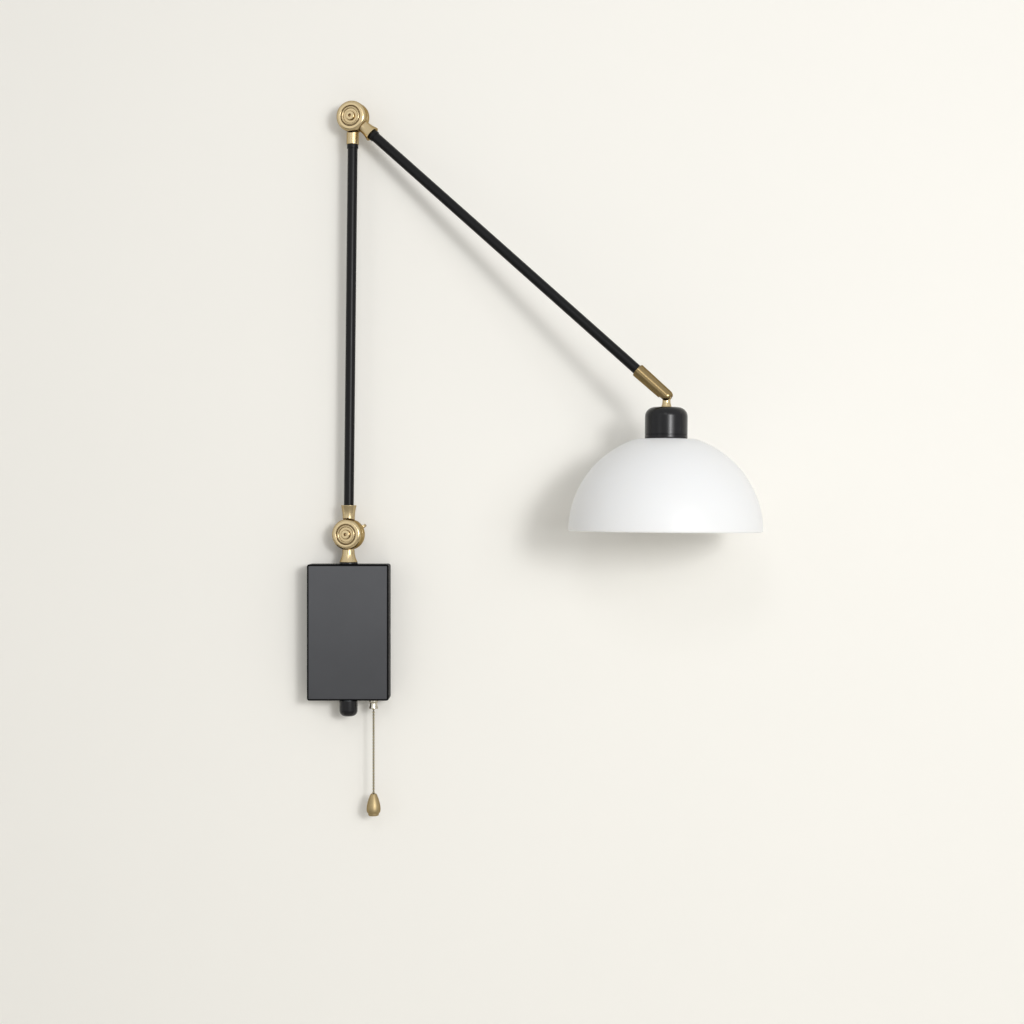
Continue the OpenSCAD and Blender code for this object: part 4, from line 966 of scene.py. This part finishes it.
class LAMP_OT_pull_chain(bpy.types.Operator):
    """Strings the bead chain and turns the bell nozzle and the knob"""
    bl_idname = "lamp.pull_chain"
    bl_label = "Pull Chain"

    def execute(self, context):
        s = context.scene.lamp_sizes
        low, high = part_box("bell_nozzle")
        outer, length = (high.x - low.x) / 2, high.z - low.z
        waist, bore, mouth = outer - 0.9 * MM, s.switch_neck / 2 + 0.1 * MM, outer - 0.7 * MM
        nozzle = turned("bell_mouth_nozzle", [
            (bore, 0), (outer, 0, 0.3 * MM), (outer, 2 * MM, 0.3 * MM), (waist, 2.4 * MM, 0.3 * MM),
            (waist, 0.55 * length, 1.5 * MM), (outer, length - 1.2 * MM, 0.5 * MM), (outer, length, 0.3 * MM),
            (mouth, length, 0.2 * MM), (bore, 0.62 * length, 0.5 * MM)],
            on_axis(PULL, high.z, -UP), 48)
        dress(nozzle, "wall_box", ["bell_nozzle"], "nickel_cap")
        knob_low, knob_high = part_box("pull_knob")
        knob_radius, knob_length = (knob_high.x - knob_low.x) / 2, knob_high.z - knob_low.z
        half_bead, thin = s.bead / 2, s.link / 2
        lip = math.degrees(math.asin(thin * 1.5 / half_bead))
        hook_low, hook_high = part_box("chain_hook")
        hook_centre = hook_low.z + half_bead
        bead_points = [(r, z) for r, z in arc(half_bead, (0, 0), 90 - lip, lip - 90, 10)]
        top_bead = turned("chain_top_bead", [(0, hook_high.z - hook_centre), (thin, hook_high.z - hook_centre),
                                             (thin, half_bead * 0.9), *bead_points, (0, -half_bead)],
                          on_axis(PULL, hook_centre), 20, False)
        dress(top_bead, "chain_joint", ["chain_hook"], "aged_brass", "chain")
        count = round((hook_centre - half_bead - knob_high.z) / s.bead_pitch)
        bead_outline = [(0, s.bead_pitch - half_bead * 0.9), (thin, s.bead_pitch - half_bead * 0.9),
                        (thin, half_bead * 0.95), *bead_points, (0, -half_bead * 0.96)]
        chain = turned("bead_chain_run", bead_outline, on_axis(PULL, hook_centre - s.bead_pitch), 20, False)
        beads = [chain]
        for i in range(1, count):
            beads.append(copy_of(chain, f"bead_{i}", Matrix.Translation((0, 0, -i * s.bead_pitch))))
        pick_only(*beads)
        bpy.ops.object.join()
        dress(chain, "chain", ["ball_chain"], "aged_brass", "chain")
        frame["nodes"]["pull_link"].data.materials[0] = finish("chain")
        # Shares of the knob's radius and length, from its top down
        outline = [(0, 0), (0.38, 0.005), (0.48, 0.05), (0.62, 0.16), (0.74, 0.26), (0.84, 0.37), (0.92, 0.47),
                   (0.975, 0.58), (1, 0.69), (0.98, 0.78), (0.9, 0.85), (0.77, 0.875), (0.77, 0.93),
                   (0.7, 0.985), (0.56, 1), (0, 1)]
        points = [(r * knob_radius, h * knob_length) for r, h in outline]
        knob = turned("turned_pull_knob", points, on_axis(PULL, knob_high.z, -UP), 48, False)
        dress(knob, "chain", ["pull_knob"], "aged_brass", "knob", 40)
        return {"FINISHED"}


class LAMP_OT_stage(bpy.types.Operator):
    """Sets up the wall, the floor, the lights and the camera"""
    bl_idname = "lamp.stage"
    bl_label = "Stage"

    def execute(self, context):
        s = context.scene.lamp_stage
        wall = plane("wall", 9, Matrix.Translation((0, 0.3 * MM, 1.2)) @ Matrix.Rotation(math.pi / 2, 4, "X"))
        floor = plane("floor", 12, Matrix.Translation((0, 0, -1.2)))
        wall.data.materials.append(wall_paint())
        floor.data.materials.append(finish("floor"))
        light("lamp_light", s.lamp_power, 0.4, 0.4, Vector((1.05, -2.35, 0.435)))
        light("window_light", s.window_power, 1.3, 1.0, Vector((1.13, -2.35, 0.45)))
        light("left_light", s.left_power, 0.8, 2.0, Vector((-1.72, -2.45, 0.6)))
        light("gleam_light", s.gleam_power, 0.6, 0.6, Vector((-0.07, -2.42, 1.33)))
        scene = context.scene
        scene.world = bpy.data.worlds.new("room")
        scene.world.use_nodes = True
        tree = scene.world.node_tree
        tree.nodes.clear()
        path = add(tree, "LightPath")
        shown = [path.outputs[name] for name in ("Is Camera Ray", "Is Glossy Ray", "Is Transmission Ray")]
        mirrored = add(tree, "Math", {0: shown[0], 1: shown[1]}, operation="MAXIMUM")
        white = add(tree, "Math", {0: mirrored.outputs[0], 1: shown[2]}, operation="MAXIMUM")
        strength = ramp(tree, white.outputs[0], 0.0, 1.0, s.room, 1.0)
        glow = add(tree, "Background", {"Color": rgba(linear("ffffff")), "Strength": strength})
        add(tree, "OutputWorld", {"Surface": glow.outputs[0]})
        camera_data = bpy.data.cameras.new("camera")
        camera_data.lens = s.lens
        camera_data.sensor_width = 36
        camera = bpy.data.objects.new("camera", camera_data)
        scene.collection.objects.link(camera)
        camera.location = s.camera_place
        camera.rotation_euler = (math.pi / 2, 0, 0)
        scene.camera = camera
        scene.view_settings.view_transform = "Standard"
        return {"FINISHED"}


def plane(name, span, place):
    """A flat square of the stage."""
    pick_only()
    bpy.ops.mesh.primitive_plane_add(size=span)
    made = bpy.context.object
    made.name = name
    move_mesh(made, place)
    return made


def light(name, power, width, height, place):
    """A flat light turned to the middle of the lamp, which the camera doesn't see."""
    data = bpy.data.lights.new(name, "AREA")
    data.energy = power
    data.shape = "RECTANGLE"
    data.size = width
    data.size_y = height
    lamp = bpy.data.objects.new(name, data)
    bpy.context.scene.collection.objects.link(lamp)
    lamp.location = place
    lamp.rotation_euler = (LAMP_MIDDLE - place).to_track_quat("-Z", "Y").to_euler()
    lamp.visible_camera = False


def wall_paint():
    """Matt emulsion on trowelled plaster: broad, faint unevenness. From behind it is clear."""
    made = coated("matt_wall_paint", colours().plaster, 0.9, 0.012, 240, 45, 0.3)
    tree = made.node_tree
    output = next(n for n in tree.nodes if n.type == "OUTPUT_MATERIAL")
    sides = add(tree, "NewGeometry")
    path = add(tree, "LightPath")
    seen = add(tree, "Math", {0: sides.outputs["Backfacing"], 1: path.outputs["Is Camera Ray"]},
               operation="MULTIPLY")
    # A ray that starts within 3 mm, from the back plate's holes, passes too.
    near = add(tree, "Math", {0: path.outputs["Ray Length"], 1: 3 * MM}, operation="LESS_THAN")
    behind = add(tree, "Math", {0: seen.outputs[0], 1: near.outputs[0]}, operation="MAXIMUM")
    clear = add(tree, "BsdfTransparent")
    mix = add(tree, "MixShader",
              {"Fac": behind.outputs[0], 1: shader_of(made).outputs[0], 2: clear.outputs[0]})
    tree.links.new(mix.outputs[0], output.inputs["Surface"])
    return made


class LAMP_PT_panel(bpy.types.Panel):
    """Lists the lamp's pieces in the sidebar"""
    bl_idname = "LAMP_PT_panel"
    bl_label = "Swing Arm Wall Lamp"
    bl_space_type = "VIEW_3D"
    bl_region_type = "UI"
    bl_category = "Wall Lamp"

    def draw(self, context):
        for operator in OPERATORS:
            self.layout.operator(operator.bl_idname)
        for group in ("lamp_sizes", "lamp_colours", "lamp_stage"):
            settings = getattr(context.scene, group)
            column = self.layout.column(align=True)
            for key in settings.__annotations__:
                column.prop(settings, key)


GROUPS = {"lamp_sizes": LampSizes, "lamp_colours": LampColours, "lamp_stage": LampStage}
OPERATORS = [LAMP_OT_stage, LAMP_OT_inner_parts, LAMP_OT_box_cover, LAMP_OT_swivel_trim, LAMP_OT_knuckles,
             LAMP_OT_pivot_trim, LAMP_OT_wing_nuts, LAMP_OT_tubes, LAMP_OT_barrel_and_neck, LAMP_OT_cup,
             LAMP_OT_shade, LAMP_OT_bulb, LAMP_OT_pull_chain]


def register():
    for name, group in GROUPS.items():
        bpy.utils.register_class(group)
        setattr(bpy.types.Scene, name, bpy.props.PointerProperty(type=group))
    for operator in OPERATORS:
        bpy.utils.register_class(operator)
    bpy.utils.register_class(LAMP_PT_panel)


def unregister():
    bpy.utils.unregister_class(LAMP_PT_panel)
    for operator in reversed(OPERATORS):
        bpy.utils.unregister_class(operator)
    for name, group in GROUPS.items():
        delattr(bpy.types.Scene, name)
        bpy.utils.unregister_class(group)


def main():
    """Makes every piece in order."""
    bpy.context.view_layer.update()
    register()
    for operator in OPERATORS:
        space, name = operator.bl_idname.split(".")
        getattr(getattr(bpy.ops, space), name)()
    pick_only()


if __name__ == "__main__":
    main()
